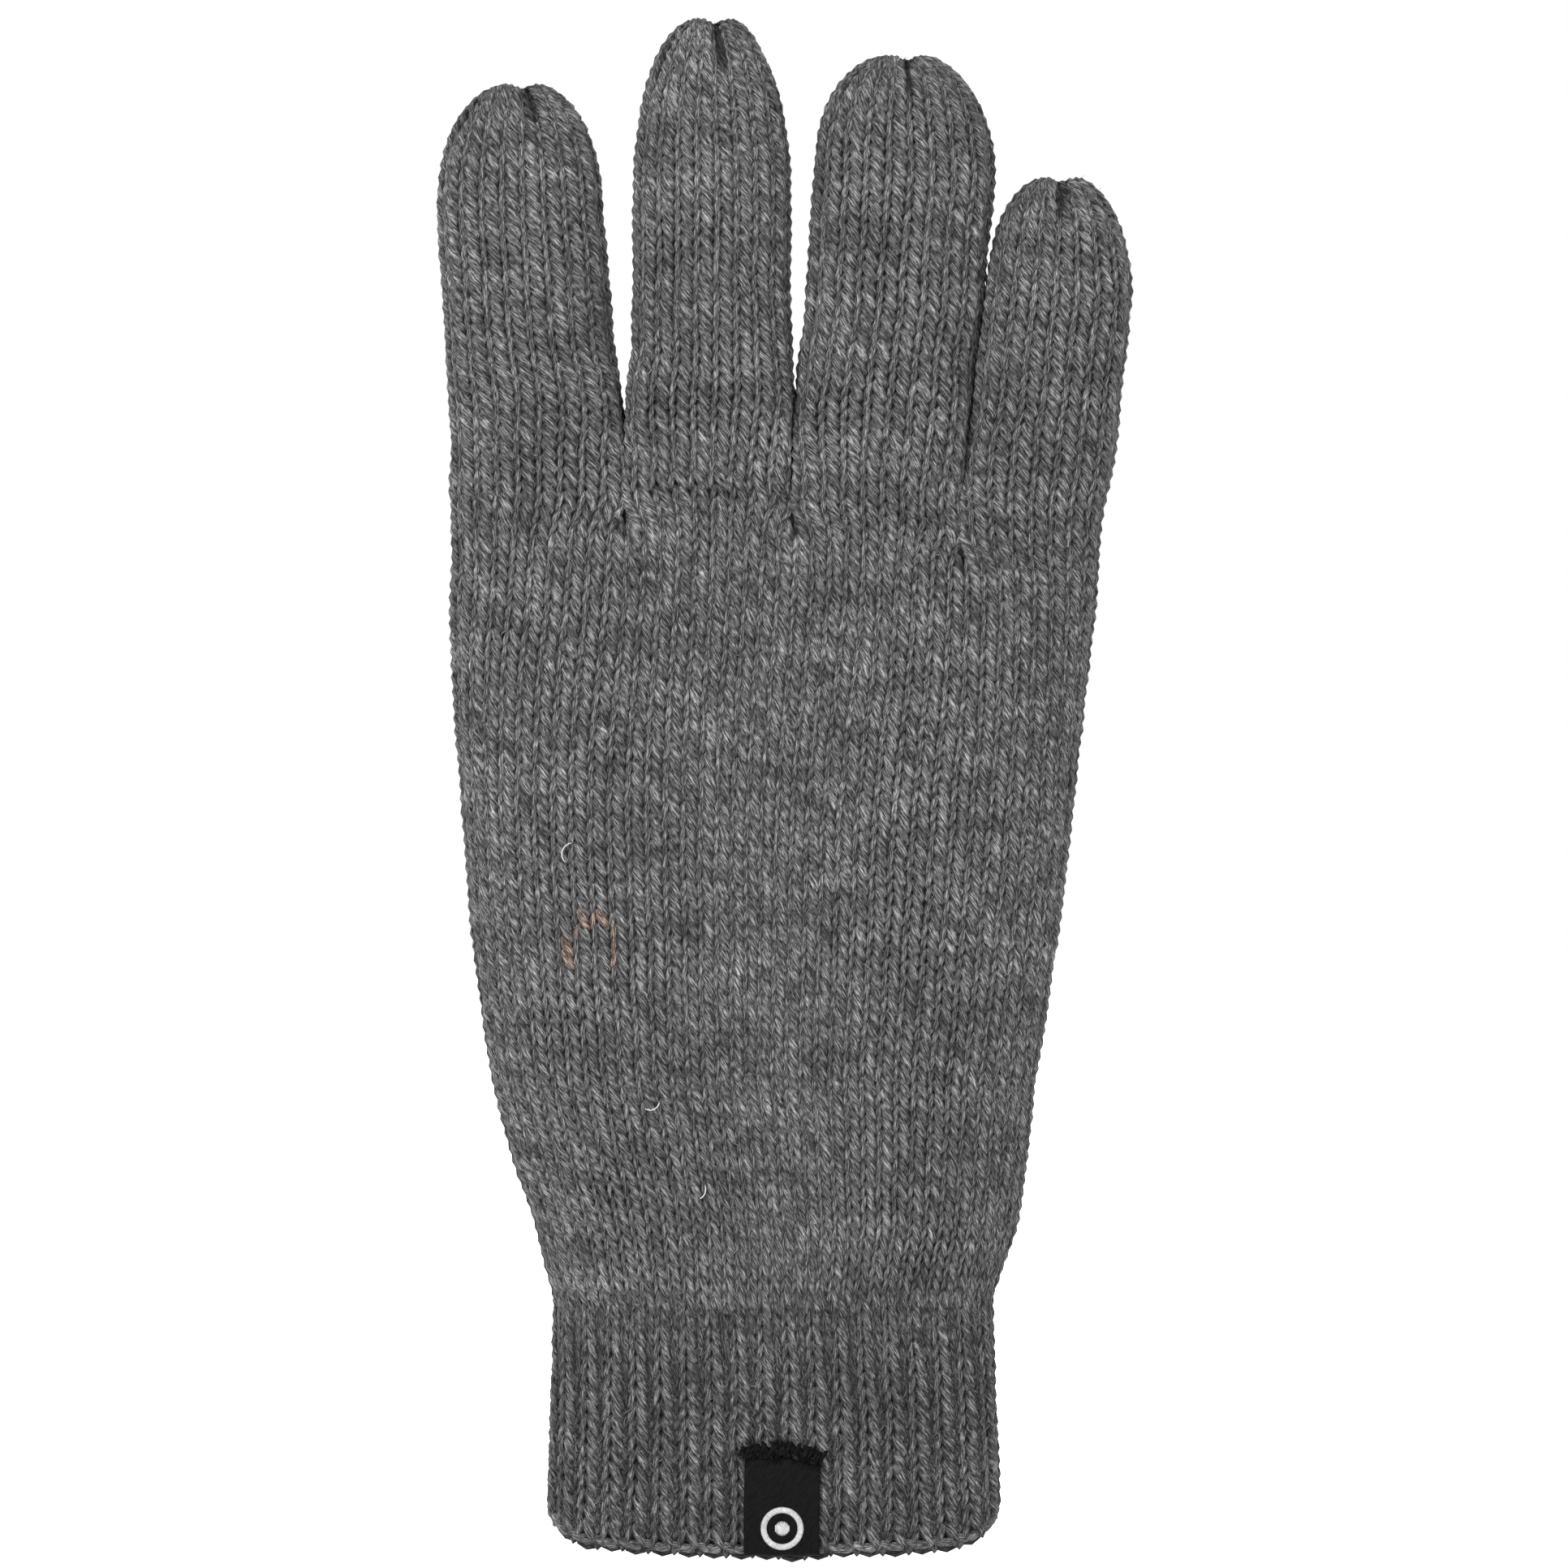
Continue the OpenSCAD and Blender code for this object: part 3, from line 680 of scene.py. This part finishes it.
def cord(path, normal, radius, sides=6, closed=False, ident=0.0):
    """One yarn or thread along a path: points, faces and yarn coordinates."""
    path = np.asarray(path, float)
    radius = np.broadcast_to(radius, len(path))
    if not closed:
        ends = np.ones(len(path))
        ends[[0, -1]] = 0.35
        radius = radius * ends
    ring = tube_ring(path, np.broadcast_to(normal, path.shape), radius, sides, closed)
    index = np.arange(len(path) * sides).reshape(len(path), sides)
    lo, hi = (index, np.roll(index, -1, 0)) if closed else (index[:-1], index[1:])
    faces = skin(lo, hi).reshape(-1, 4)
    along = lengths_along(path)
    around = np.arange(sides) / sides * 2 * math.pi * radius.mean()
    strand = np.empty(ring.shape)
    strand[..., 0] = along[:, None]
    strand[..., 1] = around - 0.3 * along[:, None]
    strand[..., 2] = ident
    return ring.reshape(-1, 3), faces, strand.reshape(-1, 3)


def joined(parts):
    """Several (points, faces, yarn coordinates) as one."""
    points, faces, strands, base = [], [], [], 0
    for p, f, s in parts:
        points.append(p)
        faces.append(f + base)
        strands.append(s)
        base += len(p)
    return np.concatenate(points), np.concatenate(faces), np.concatenate(strands)


# ---- Materials ----
# Bands of lighter and darker courses: noise cycles a metre (x, y, z), and how far the tone moves
BAND_SCALE = (30.0, 30.0, 165.0)
BAND_SWING = 0.16


def new_material(name):
    mat = bpy.data.materials.new(name)
    mat.use_nodes = True
    nodes, links = mat.node_tree.nodes, mat.node_tree.links
    return mat, nodes, links, nodes["Principled BSDF"]


def fill(node, **values):
    """Sets sockets by name, with _ for a space."""
    for name, value in values.items():
        node.inputs[name.replace("_", " ")].default_value = value


def attribute(nodes, name):
    node = nodes.new("ShaderNodeAttribute")
    node.attribute_name = name
    return node.outputs


def ramp(nodes, links, value, *stops):
    """Colours, or greys, looked up from a value."""
    node = nodes.new("ShaderNodeValToRGB")
    while len(node.color_ramp.elements) < len(stops):
        node.color_ramp.elements.new(0.5)
    for element, (at, colour) in zip(node.color_ramp.elements, stops):
        element.position = at
        colour = colour if isinstance(colour, tuple) else (colour, colour, colour)
        element.color = (*colour, 1)
    links.new(value, node.inputs["Fac"])
    return node.outputs["Color"]


def relief(nodes, links, shader, height, strength, distance):
    node = nodes.new("ShaderNodeBump")
    fill(node, Strength=strength, Distance=distance)
    links.new(height, node.inputs["Height"])
    links.new(node.outputs["Normal"], shader.inputs["Normal"])


def noise(nodes, links, source, scale, detail=3.0, roughness=0.6):
    """Noise over a stretched copy of some coordinates."""
    stretch = nodes.new("ShaderNodeMapping")
    fill(stretch, Scale=scale)
    links.new(source, stretch.inputs["Vector"])
    node = nodes.new("ShaderNodeTexNoise")
    fill(node, Scale=1.0, Detail=detail, Roughness=roughness)
    links.new(stretch.outputs["Vector"], node.inputs["Vector"])
    return node.outputs["Fac"]


def multiply(nodes, links, a, b):
    node = nodes.new("ShaderNodeMix")
    node.data_type, node.blend_type = "RGBA", "MULTIPLY"
    node.inputs["Factor"].default_value = 1.0
    links.new(a, node.inputs["A"])
    if isinstance(b, tuple):
        node.inputs["B"].default_value = (*b, 1)
    else:
        links.new(b, node.inputs["B"])
    return node.outputs["Result"]


def yarn_material(name, tones, tint=(1.0, 1.0, 1.0), swing=0.45, sheen=0.03):
    """Spun yarn: fine streaks of light and dark fibre that follow its twist, and slow changes along it."""
    mat, nodes, links, shader = new_material(name)
    strand = attribute(nodes, "strand")["Vector"]
    streak = noise(nodes, links, strand, (0.95, 5.4, 1.0), 3.0, 0.65)
    slow = noise(nodes, links, strand, (0.055, 0.0, 0.15), 2.0)
    dark, middle, light = tones
    tone = ramp(nodes, links, streak, (0.35, dark), (0.5, middle), (0.67, light))
    patch = ramp(nodes, links, slow, (0.3, 1 - swing), (0.5, 1.0), (0.7, 1 + swing))
    colour = multiply(nodes, links, tone, patch)
    # Neighbouring courses are lighter or darker together
    place = nodes.new("ShaderNodeTexCoord").outputs["Object"]
    together = noise(nodes, links, place, BAND_SCALE, 2.0)
    band = ramp(nodes, links, together, (0.34, 1 - BAND_SWING), (0.5, 1.0), (0.66, 1 + BAND_SWING))
    colour = multiply(nodes, links, colour, band)
    # Painted shade: the flanks and feet of the stitches, which lie in the shade of their neighbours' fibres,
    # and the yarn in folds are darkened in colour
    lie = attribute(nodes, "open")["Fac"]
    shade = ramp(nodes, links, lie, (0.42, 0.02), (0.72, 0.33), (0.95, 1.27))
    colour = multiply(nodes, links, colour, shade)
    links.new(multiply(nodes, links, colour, tint), shader.inputs["Base Color"])
    relief(nodes, links, shader, streak, 1.0, 0.0002)
    rough = ramp(nodes, links, streak, (0.3, 0.95), (0.7, 0.75))
    links.new(rough, shader.inputs["Roughness"])
    fill(shader, Specular_IOR_Level=0.05, Sheen_Weight=sheen, Sheen_Roughness=0.5)
    return mat


def fibre_material():
    mat, nodes, links, shader = new_material("loose_fibre")
    split = nodes.new("ShaderNodeSeparateXYZ")
    links.new(attribute(nodes, "strand")["Vector"], split.inputs["Vector"])
    tone = ramp(nodes, links, split.outputs["Y"], (0.0, 0.015), (0.5, 0.05), (0.9, 0.11), (1.0, 0.2))
    links.new(tone, shader.inputs["Base Color"])
    fill(shader, Roughness=0.7, Specular_IOR_Level=0.15)
    return mat


def core_material():
    """The inner face of the knit: soft rows of purl bumps, coloured darker than the yarn as painted shade
    where it shows between the stitches.
    """
    mat, nodes, links, shader = new_material("inner_face")
    place = nodes.new("ShaderNodeTexCoord").outputs["Object"]
    grain = noise(nodes, links, place, (700.0, 700.0, 900.0))
    # Painted shade: darker than the yarn and with no light fibres, so the gaps between stitches look shaded
    links.new(ramp(nodes, links, grain, (0.3, 0.006), (0.7, 0.035)), shader.inputs["Base Color"])
    wave = nodes.new("ShaderNodeTexWave")
    wave.bands_direction = "Z"
    fill(wave, Scale=150.0, Distortion=3.0, Detail_Scale=4.0)
    links.new(place, wave.inputs["Vector"])
    relief(nodes, links, shader, wave.outputs["Fac"], 0.8, 0.0006)
    fill(shader, Roughness=0.95, Specular_IOR_Level=0.1)
    return mat


def label_material():
    """Black satin tape, with fine slanting floats."""
    mat, nodes, links, shader = new_material("black_tape")
    turn = nodes.new("ShaderNodeMapping")
    fill(turn, Rotation=(0.0, 0.9, 0.0))
    links.new(nodes.new("ShaderNodeTexCoord").outputs["Object"], turn.inputs["Vector"])
    floats = noise(nodes, links, turn.outputs["Vector"], (900.0, 2500.0, 4200.0), 2.0)
    links.new(ramp(nodes, links, floats, (0.3, 0.0012), (0.7, 0.0036)), shader.inputs["Base Color"])
    relief(nodes, links, shader, floats, 0.4, 0.00005)
    fill(shader, Roughness=0.6, Specular_IOR_Level=0.03)
    return mat


MARL = (0.003, 0.034, 0.135)
marl = yarn_material("marl_yarn", MARL)
ribbed = yarn_material("rib_yarn", (0.003, 0.0305, 0.125), swing=0.38)
copper = yarn_material("copper_marl_yarn", (0.004, 0.045, 0.16), tint=(1.25, 0.93, 0.77), swing=0.15)
elastic = yarn_material("covered_elastic", (0.008, 0.025, 0.06), swing=0.1)
black = yarn_material("black_thread", (0.0005, 0.0015, 0.006), swing=0.2, sheen=0.0)
pale = yarn_material("pale_thread", (0.16, 0.26, 0.36), swing=0.05, sheen=0.05)
pale_fibre = yarn_material("pale_fibre", (0.2, 0.28, 0.36), swing=0.05)
tape = label_material()
loose = fibre_material()
inner = core_material()


# ---- Making meshes ----
def build(name, parts):
    """One object from ((points in mm, faces, yarn coordinates or None), material) parts."""
    points, faces, strands, slots, base = [], [], [], [], 0
    for k, ((p, f, s), _) in enumerate(parts):
        points.append(p * MM)
        faces.append(f + base)
        s = np.zeros((len(p), 3)) if s is None else s
        strands.append(s if s.shape[1] == 4 else np.column_stack([s, np.ones(len(s))]))
        slots.append(np.full(len(f), k))
        base += len(p)
    points, faces = np.concatenate(points), np.concatenate(faces)
    mesh = bpy.data.meshes.new(name)
    mesh.vertices.add(len(points))
    mesh.vertices.foreach_set("co", points.astype(np.float32).ravel())
    mesh.loops.add(len(faces) * 4)
    mesh.loops.foreach_set("vertex_index", faces.astype(np.int32).ravel())
    mesh.polygons.add(len(faces))
    mesh.polygons.foreach_set("loop_start", np.arange(0, len(faces) * 4, 4, dtype=np.int32))
    for _, material in parts:
        mesh.materials.append(material)
    mesh.polygons.foreach_set("material_index", np.concatenate(slots).astype(np.int32))
    mesh.polygons.foreach_set("use_smooth", np.ones(len(faces), bool))
    mesh.update(calc_edges=True)
    layer = mesh.attributes.new("strand", "FLOAT_VECTOR", "POINT")
    strands = np.concatenate(strands).astype(np.float32)
    layer.data.foreach_set("vector", strands[:, :3].ravel())
    # How open each point lies: painted shade multiplied into the yarn's colour, 1 where there is none
    layer = mesh.attributes.new("open", "FLOAT", "POINT")
    layer.data.foreach_set("value", strands[:, 3])
    mesh.validate()
    obj = bpy.data.objects.new(name, mesh)
    bpy.context.scene.collection.objects.link(obj)
    return obj


def on_hand(obj, slot, *nodes):
    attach(obj, "hand")
    if nodes:
        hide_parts(*nodes)
    return obj


# ---- Hand and cuff ----
def make_hand():
    surface, count = hand_surface()
    knit = Knit(surface, count, HAND_WALES, seed=3, skew=0.09)
    third = count // 3
    copper_legs = arch_legs(knit)
    for name, rows, face, node in (
        ("hand_back_low", (0, third), 0, "hand_back"),
        ("hand_back_middle", (third, 2 * third), 0, None),
        ("hand_back_high", (2 * third, count), 0, None),
        ("hand_palm_low", (0, third), 1, "hand_palm"),
        ("hand_palm_middle", (third, 2 * third), 1, None),
        ("hand_palm_high", (2 * third, count), 1, None),
    ):
        keep = knit.legs(*rows, face) & ~copper_legs
        rng = np.random.default_rng(100 + face * 10 + rows[0])
        levels = (rows[0] * ROWS_PER_COURSE, rows[1] * ROWS_PER_COURSE)
        hair = fibres(surface, levels, HAND_FIBRES, rng, (0.5 * face, 0.5 * face + 0.5))
        piece = build(name, [(knit.part(keep), marl), (hair, loose)])
        on_hand(piece, "marl_knit", *([node] if node else []))
    arch = build("copper_stitches", [(knit.part(copper_legs), copper)])
    on_hand(arch, "conductive_yarn", "conductive_stitches")
    on_hand(build("stray_fibres", [(stray_fibres(surface), pale_fibre)]), "marl_knit")
    core = build("hand_inner_face", [(backing(surface, slice(0, None)), inner)])
    on_hand(core, "marl_knit", "web_index_middle", "web_middle_ring", "web_ring_little")


def stray_fibres(surface):
    """A few long pale fibres that have worked loose on the back of the hand."""
    front = surface.points[:, : HAND_WALES // 2 * COLUMNS_PER_WALE].reshape(-1, 3)
    cords = []
    for k, (x, z, turn, length, curl) in enumerate(STRAYS):
        s = np.linspace(-0.5, 0.5, 9)
        angle = turn + curl * s
        step = np.column_stack([np.cos(angle), np.zeros(9), np.sin(angle)]) * length / 8
        path = np.cumsum(step, axis=0)
        path += np.array([x, 0, z]) - path.mean(0)
        for point in path:
            point[1] = front[np.hypot(front[:, 0] - point[0], front[:, 2] - point[2]).argmin(), 1]
        path[:, 1] = path[:, 1].mean() - 0.1 - 0.5 * (1 - 4 * s**2)
        cords.append(cord(path, OUTWARD, 0.09, 5, ident=k * 3.0))
    return joined(cords)


def arch_legs(knit):
    """The legs, on the back of the hand, of the conductive yarn that shows as a small arch."""
    lo, hi = box_mm("conductive_stitches")
    middles = knit.leg_middles()
    centre_x, radius = (lo[0] + hi[0]) / 2, (hi[0] - lo[0]) / 2
    x = (middles[..., 0] - centre_x) / radius
    z = (middles[..., 2] - lo[2]) / (hi[2] - lo[2])
    away = np.abs(np.hypot(x, np.maximum(z, 0)) - 0.95)
    return (away < 0.17) & (z > -0.5) & (middles[..., 1] < 0)


def make_cuff():
    surface, count = cuff_surface()
    knit = Knit(surface, count, HAND_WALES, seed=11, skew=0.06, rib=True)
    rng = np.random.default_rng(12)
    levels = (0, count * ROWS_PER_COURSE)
    for face, name, nodes in ((0, "cuff_back_knit", ["cuff_rib"]), (1, "cuff_palm_knit", [])):
        keep = knit.legs(0, count, face)
        hair = fibres(surface, levels, CUFF_FIBRES, rng, (0.5 * face, 0.5 * face + 0.5))
        on_hand(build(name, [(knit.part(keep), ribbed), (hair, loose)]), "rib_knit", *nodes)
    on_hand(build("hem_edge", [(hem_edge(surface), ribbed)]), "rib_knit", "cuff_hem")
    lining = backing(surface, slice(0, None), CUFF_LINING, hem=True)
    on_hand(build("cuff_inner_face", [(lining, inner)]), "rib_knit")
    return surface, count


def hem_edge(surface):
    """The yarn the cuff was begun on, bowed down between the feet of the first course."""
    ribs = HAND_WALES // 2
    turns = np.linspace(0, 1, ribs * 12, endpoint=False)
    bow = np.abs(np.cos(math.pi * (ribs * turns - 0.44)))
    p, n = surface.at(turns, 0.3 - 0.9 * bow)
    strands = []
    for ply in range(2):
        twist = 2 * math.pi * (ribs * turns + ply / 2)
        path = p - n * (1.15 + 0.3 * np.cos(twist))[:, None]
        path[:, 2] += 0.12 * np.sin(twist)
        strands.append(cord(path, n, 0.75, 7, True, 3.0 + ply))
    return joined(strands)


def make_elastic(surface, count):
    """Covered elastic laid in around the inside of the cuff."""
    lo, hi = (c.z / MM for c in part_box("cuff_elastic"))
    turns = np.linspace(0, 1, 480, endpoint=False)
    cords = []
    for k in range(4):
        z = mix(lo + 0.4, hi - 0.4, k / 3)
        level = (z - HEM_LOW) / (CUFF_TOP - HEM_LOW) * count * ROWS_PER_COURSE
        p, n = surface.at(turns, np.full(len(turns), level))
        for ply in range(2):
            twist = 2 * math.pi * (90 * turns + ply / 2)
            path = p - n * (3.0 + 0.17 * np.cos(twist))[:, None]
            path[:, 2] = z + 0.17 * np.sin(twist)
            cords.append(cord(path, n, 0.2, 5, True, 10.0 * k + ply))
    on_hand(build("elastic_courses", [(joined(cords), elastic)]), "elastic_yarn", "cuff_elastic")


# ---- Digits ----
def make_digit(d, seed):
    surface, count = thumb_surface() if d.is_thumb else finger_surface(FINGERS.index(d.name))
    skew = 0.17 if d.name == "index" else 0.12
    knit = Knit(surface, count, d.wales, seed=seed, skew=skew, steps=12, sides=7)
    level = d.local(surface.points).mean(1)[:, 2]
    reach = BEND_REACH if d.is_thumb else ROOT_REACH
    split_at = (d.root + reach - BEND_REACH) / 2
    split = int(np.searchsorted(level, split_at) // ROWS_PER_COURSE)
    rng = np.random.default_rng(seed + 1)
    pad = np.zeros((count, 2 * d.wales), bool)
    if d.name in ("index", "thumb"):
        pad = pad_legs(knit, d)
    pieces = []
    for part, rows in (("lower", (0, split)), ("upper", (split, count))):
        levels = (rows[0] * ROWS_PER_COURSE, rows[1] * ROWS_PER_COURSE)
        keep = knit.legs(*rows) & ~pad
        back = backing(surface, slice(levels[0], levels[1] + 1))
        hair = fibres(surface, levels, DIGIT_FIBRES, rng)
        parts = [(knit.part(keep), marl), (back, inner), (hair, loose)]
        piece = build(f"{d.name}_{part}_knit", parts)
        pieces.append(piece)
    lower, upper = pieces
    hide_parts(d.name + "_root_band", d.name + "_lower_tube")
    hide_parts(d.name + "_knuckle_band", d.name + "_upper_tube", d.name + "_tip_gather")
    if d.is_thumb:
        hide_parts("thumb_gusset")
    if pad.any():
        touch = build(d.name + "_touch_knit", [(knit.part(pad), copper)])
        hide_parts(d.name + "_touch_pad")
        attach(touch, d.name + "_upper")
    up = d.row(np.array([0, 0, 1.0])) - d.row(np.zeros(3))
    hinge(lower)
    hinge(upper)


def hinge(piece):
    """Bakes the piece's placement into its mesh."""
    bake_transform(piece)


def pad_legs(knit, d):
    """The legs of conductive yarn on the palm side of a fingertip."""
    middles = d.local(knit.leg_middles())
    low = d.tip - THUMB_PAD_LEN
    if not d.is_thumb:
        low = d.local(box_mm(d.name + "_touch_pad")[0])[2]
    half = (d.cuts[-1, 1] - d.cuts[-1, 0]) / 2
    centre = (d.cuts[-1, 1] + d.cuts[-1, 0]) / 2
    beside = np.abs(middles[..., 0] - centre)
    return (middles[..., 1] > 1) & (middles[..., 2] > low) & (beside < 0.72 * half)


# ---- Label ----
def label_profile():
    """The tape's path, from its inner end round the hem to its outer end: y, z."""
    lo, hi = box_mm("woven_label")
    front, back, bottom, top = lo[1] + 0.25, hi[1] - 0.25, LABEL_LOW + 0.25, hi[2]
    radius = 1.0
    inner_leg = [(back, z) for z in np.linspace(top - 1, bottom + radius, 16, endpoint=False)]
    turn = np.linspace(0, math.pi / 2, 7)
    first = [(back - radius + radius * math.cos(a), bottom + radius - radius * math.sin(a)) for a in turn]
    last = [(front + radius - radius * math.sin(a), bottom + radius - radius * math.cos(a)) for a in turn]
    outer_leg = [(front, z) for z in np.linspace(bottom + radius, top, 22)[1:]]
    return np.array(inner_leg + first + last + outer_leg), lo, hi


def label_droop(across):
    """How far the sewn end drops: a little at both corners, more at the right one."""
    return 0.35 * (2 * across - 1) ** 2 + 0.9 * smooth((across - 0.55) / 0.45)


def make_label():
    profile, lo, hi = label_profile()
    columns = 25
    xs = np.linspace(lo[0], hi[0], columns)
    across = (xs - lo[0]) / (hi[0] - lo[0])
    direction = unit(np.gradient(profile, axis=0))
    outward = np.column_stack([direction[:, 1] * -1, direction[:, 0]])
    along = np.linspace(0, 1, len(profile))[:, None]
    ripple = 0.14 * np.cos(2 * math.pi * xs[None, :] / 4.2) + 0.1 * np.sin(9 * along + 2 * across[None, :])
    crown = 0.1 * (1 - (2 * across - 1) ** 2)
    layers = []
    for side in (0.22, -0.22):
        y = profile[:, :1] + outward[:, :1] * (side + 0.5 * ripple - 0.05 + crown)
        z = profile[:, 1:] + outward[:, 1:] * (side + 0.5 * ripple - 0.05 + crown)
        z = z - label_droop(across)[None, :] * smooth((along - 0.8) / 0.2)
        x = np.broadcast_to(xs, y.shape) + 0.12 * np.sin(7 * along)
        layers.append(np.stack([x, y, z], -1))
    grid = np.stack(layers)
    n_r, n_c = grid.shape[1:3]
    index = np.arange(2 * n_r * n_c).reshape(2, n_r, n_c)
    top, under = index
    faces = [
        np.stack([top[:-1, :-1], top[:-1, 1:], top[1:, 1:], top[1:, :-1]], -1).reshape(-1, 4),
        np.stack([under[:-1, :-1], under[1:, :-1], under[1:, 1:], under[:-1, 1:]], -1).reshape(-1, 4),
    ]
    rims = (
        (top[0], under[0]),
        (under[-1], top[-1]),
        (under[:, 0], top[:, 0]),
        (top[:, -1], under[:, -1]),
    )
    for line, other in rims:
        faces.append(np.stack([line[:-1], other[:-1], other[1:], line[1:]], -1))
    label = build("label_tape", [((grid.reshape(-1, 3), np.concatenate(faces), None), tape)])
    on_hand(label, "label_tape", "woven_label")


def make_stitching():
    """Black thread whipped over the top edge of the label."""
    lo, hi = box_mm("label_stitching")
    label_lo, label_hi = box_mm("woven_label")
    rng = np.random.default_rng(41)
    lo[0], hi[0] = label_lo[0] - 0.2, label_hi[0] + 0.2
    face = label_lo[1]
    count, thread = 24, 0.2
    cords = []
    for k in range(count):
        across = k / (count - 1)
        x0 = mix(lo[0] - 0.1, hi[0] + 0.1, across) + rng.normal(0, 0.12)
        slant = rng.choice([-1, 1]) * rng.uniform(0.5, 1.3)
        drop = label_droop(across) - 1.0
        low, high = lo[2] + 0.7 - drop + rng.normal(0, 0.3), hi[2] - drop + rng.normal(0, 0.15)
        s = np.linspace(0, 1, 14)
        bow = np.sin(math.pi * s)
        for ply in range(3):
            twist = 2 * math.pi * (2.2 * s + ply / 3)
            x = x0 + slant * (s - 0.5) + 0.16 * np.cos(twist)
            y = face + 0.5 - 1.0 * bow**0.5 + 0.14 * np.sin(twist)
            path = np.column_stack([x, y, mix(low, high, s)])
            cords.append(cord(path, OUTWARD, thread, 5, ident=k * 5.0 + ply))
    s = np.linspace(0, 1, 90)
    for ply in range(3):
        twist = 2 * math.pi * (14 * s + ply / 3)
        x = mix(lo[0] - 0.1, hi[0] + 0.1, s)
        y = face + 0.1 + 0.15 * np.sin(twist) - 0.25 * np.sin(22 * math.pi * s)
        wander = 0.35 * np.sin(9 * math.pi * s)
        z = (lo[2] + hi[2]) / 2 + 1.3 - label_droop(s) + wander + 0.15 * np.cos(twist)
        cords.append(cord(np.column_stack([x, y, z]), OUTWARD, thread, 5, ident=90.0 + ply))
    for k in range(260):
        across = rng.uniform(-0.03, 1.03)
        height = rng.uniform(lo[2] + 0.4, hi[2] + 1.4) - label_droop(across)
        at = np.array([mix(lo[0], hi[0], across), face - 0.2, height])
        angle, length = rng.uniform(0, math.pi), rng.uniform(0.6, 1.8)
        s = np.linspace(-0.5, 0.5, 5)
        path = at + np.column_stack([
            math.cos(angle) * s * length,
            0.35 - rng.uniform(0.3, 0.9) * (1 - 4 * s**2),
            math.sin(angle) * s * length + rng.normal(0, 0.3) * s**2,
        ])
        cords.append(cord(path, OUTWARD, 0.035, 3, ident=200.0 + k))
    on_hand(build("label_whip_stitch", [(joined(cords), black)]), "black_thread", "label_stitching")


def make_mark():
    """A dot in a ring, worked in satin stitch."""
    lo, hi = box_mm("label_mark")
    centre_x, radius = (lo[0] + hi[0]) / 2, (hi[0] - lo[0]) / 2
    centre_z = (lo[2] + hi[2]) / 2 + MARK_RAISE
    face = hi[1] - 0.12
    line, dot, thread = 0.95, 1.15, 0.15
    cords = []

    def stitch(x0, z0, x1, z1, ident):
        s = np.linspace(0, 1, 6)
        y = face - 0.16 * np.sin(math.pi * s) ** 0.6
        path = np.column_stack([mix(x0, x1, s), y, mix(z0, z1, s)])
        cords.append(cord(path, OUTWARD, thread, 5, ident=ident))

    count = int(2 * math.pi * radius / (1.55 * thread))
    for k in range(count):
        a = 2 * math.pi * k / count
        r0, r1 = radius - line, radius
        stitch(centre_x + r0 * math.cos(a), centre_z + r0 * math.sin(a),
               centre_x + r1 * math.cos(a + 0.05), centre_z + r1 * math.sin(a + 0.05), k)
    for x in np.arange(-dot + thread, dot, 1.5 * thread):
        h = math.sqrt(max(dot**2 - x**2, 0.02))
        stitch(centre_x + x, centre_z - h, centre_x + x, centre_z + h, 500 + x)
    on_hand(build("label_emblem", [(joined(cords), pale)]), "label_mark", "label_mark")


make_hand()
make_elastic(*make_cuff())
for number, digit in enumerate(digits.values()):
    make_digit(digit, 20 + 5 * number)
make_label()
make_stitching()
make_mark()


# ---- Studio ----
def aim(obj, target):
    obj.rotation_mode = "QUATERNION"
    obj.rotation_quaternion = (Vector(target) - obj.location).to_track_quat("-Z", "Y")


def make_studio():
    scene = bpy.context.scene
    scene.view_settings.view_transform = "Standard"
    world = bpy.data.worlds.new("studio")
    scene.world = world
    world.use_nodes = True
    fill(world.node_tree.nodes["Background"], Color=(1, 1, 1, 1), Strength=1.0)
    lo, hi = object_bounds()
    middle = (Vector(lo) + Vector(hi)) / 2
    reach = 3.0
    floor_mesh = bpy.data.meshes.new("studio_floor")
    corners = [(-reach, -reach), (reach, -reach), (reach, reach), (-reach, reach)]
    floor_mesh.from_pydata([(x, y, lo[2] - 0.001) for x, y in corners], [], [(0, 1, 2, 3)])
    floor = bpy.data.objects.new("studio_floor", floor_mesh)
    scene.collection.objects.link(floor)
    mat, _, _, shader = new_material("studio_white")
    fill(shader, Base_Color=(0.9, 0.9, 0.9, 1), Roughness=1.0)
    fill(shader, Emission_Color=(1, 1, 1, 1), Emission_Strength=1.0)
    floor_mesh.materials.append(mat)
    for name, place, size, power in (
        ("key_light", (-0.75, -1.25, 0.95), 0.7, 45),
        ("fill_light", (0.9, -1.2, 0.35), 1.2, 12),
        ("back_light", (0.5, 1.4, 0.9), 1.2, 32),
    ):
        data = bpy.data.lights.new(name, "AREA")
        data.size, data.energy = size, power
        lamp = bpy.data.objects.new(name, data)
        scene.collection.objects.link(lamp)
        lamp.location = place
        aim(lamp, middle)
    data = bpy.data.cameras.new("camera")
    data.lens, data.sensor_width = 120, 36
    camera = bpy.data.objects.new("camera", data)
    scene.collection.objects.link(camera)
    scene.camera = camera
    # The view is 251.2 mm wide at the glove, and its middle is 124.7 mm over the hem
    view_w, view_x, view_z = 0.2512, 0.0017, 0.1247
    camera.location = (view_x, -view_w * data.lens / data.sensor_width, view_z)
    camera.rotation_mode = "XYZ"
    camera.rotation_euler = (math.pi / 2, 0, 0)


make_studio()
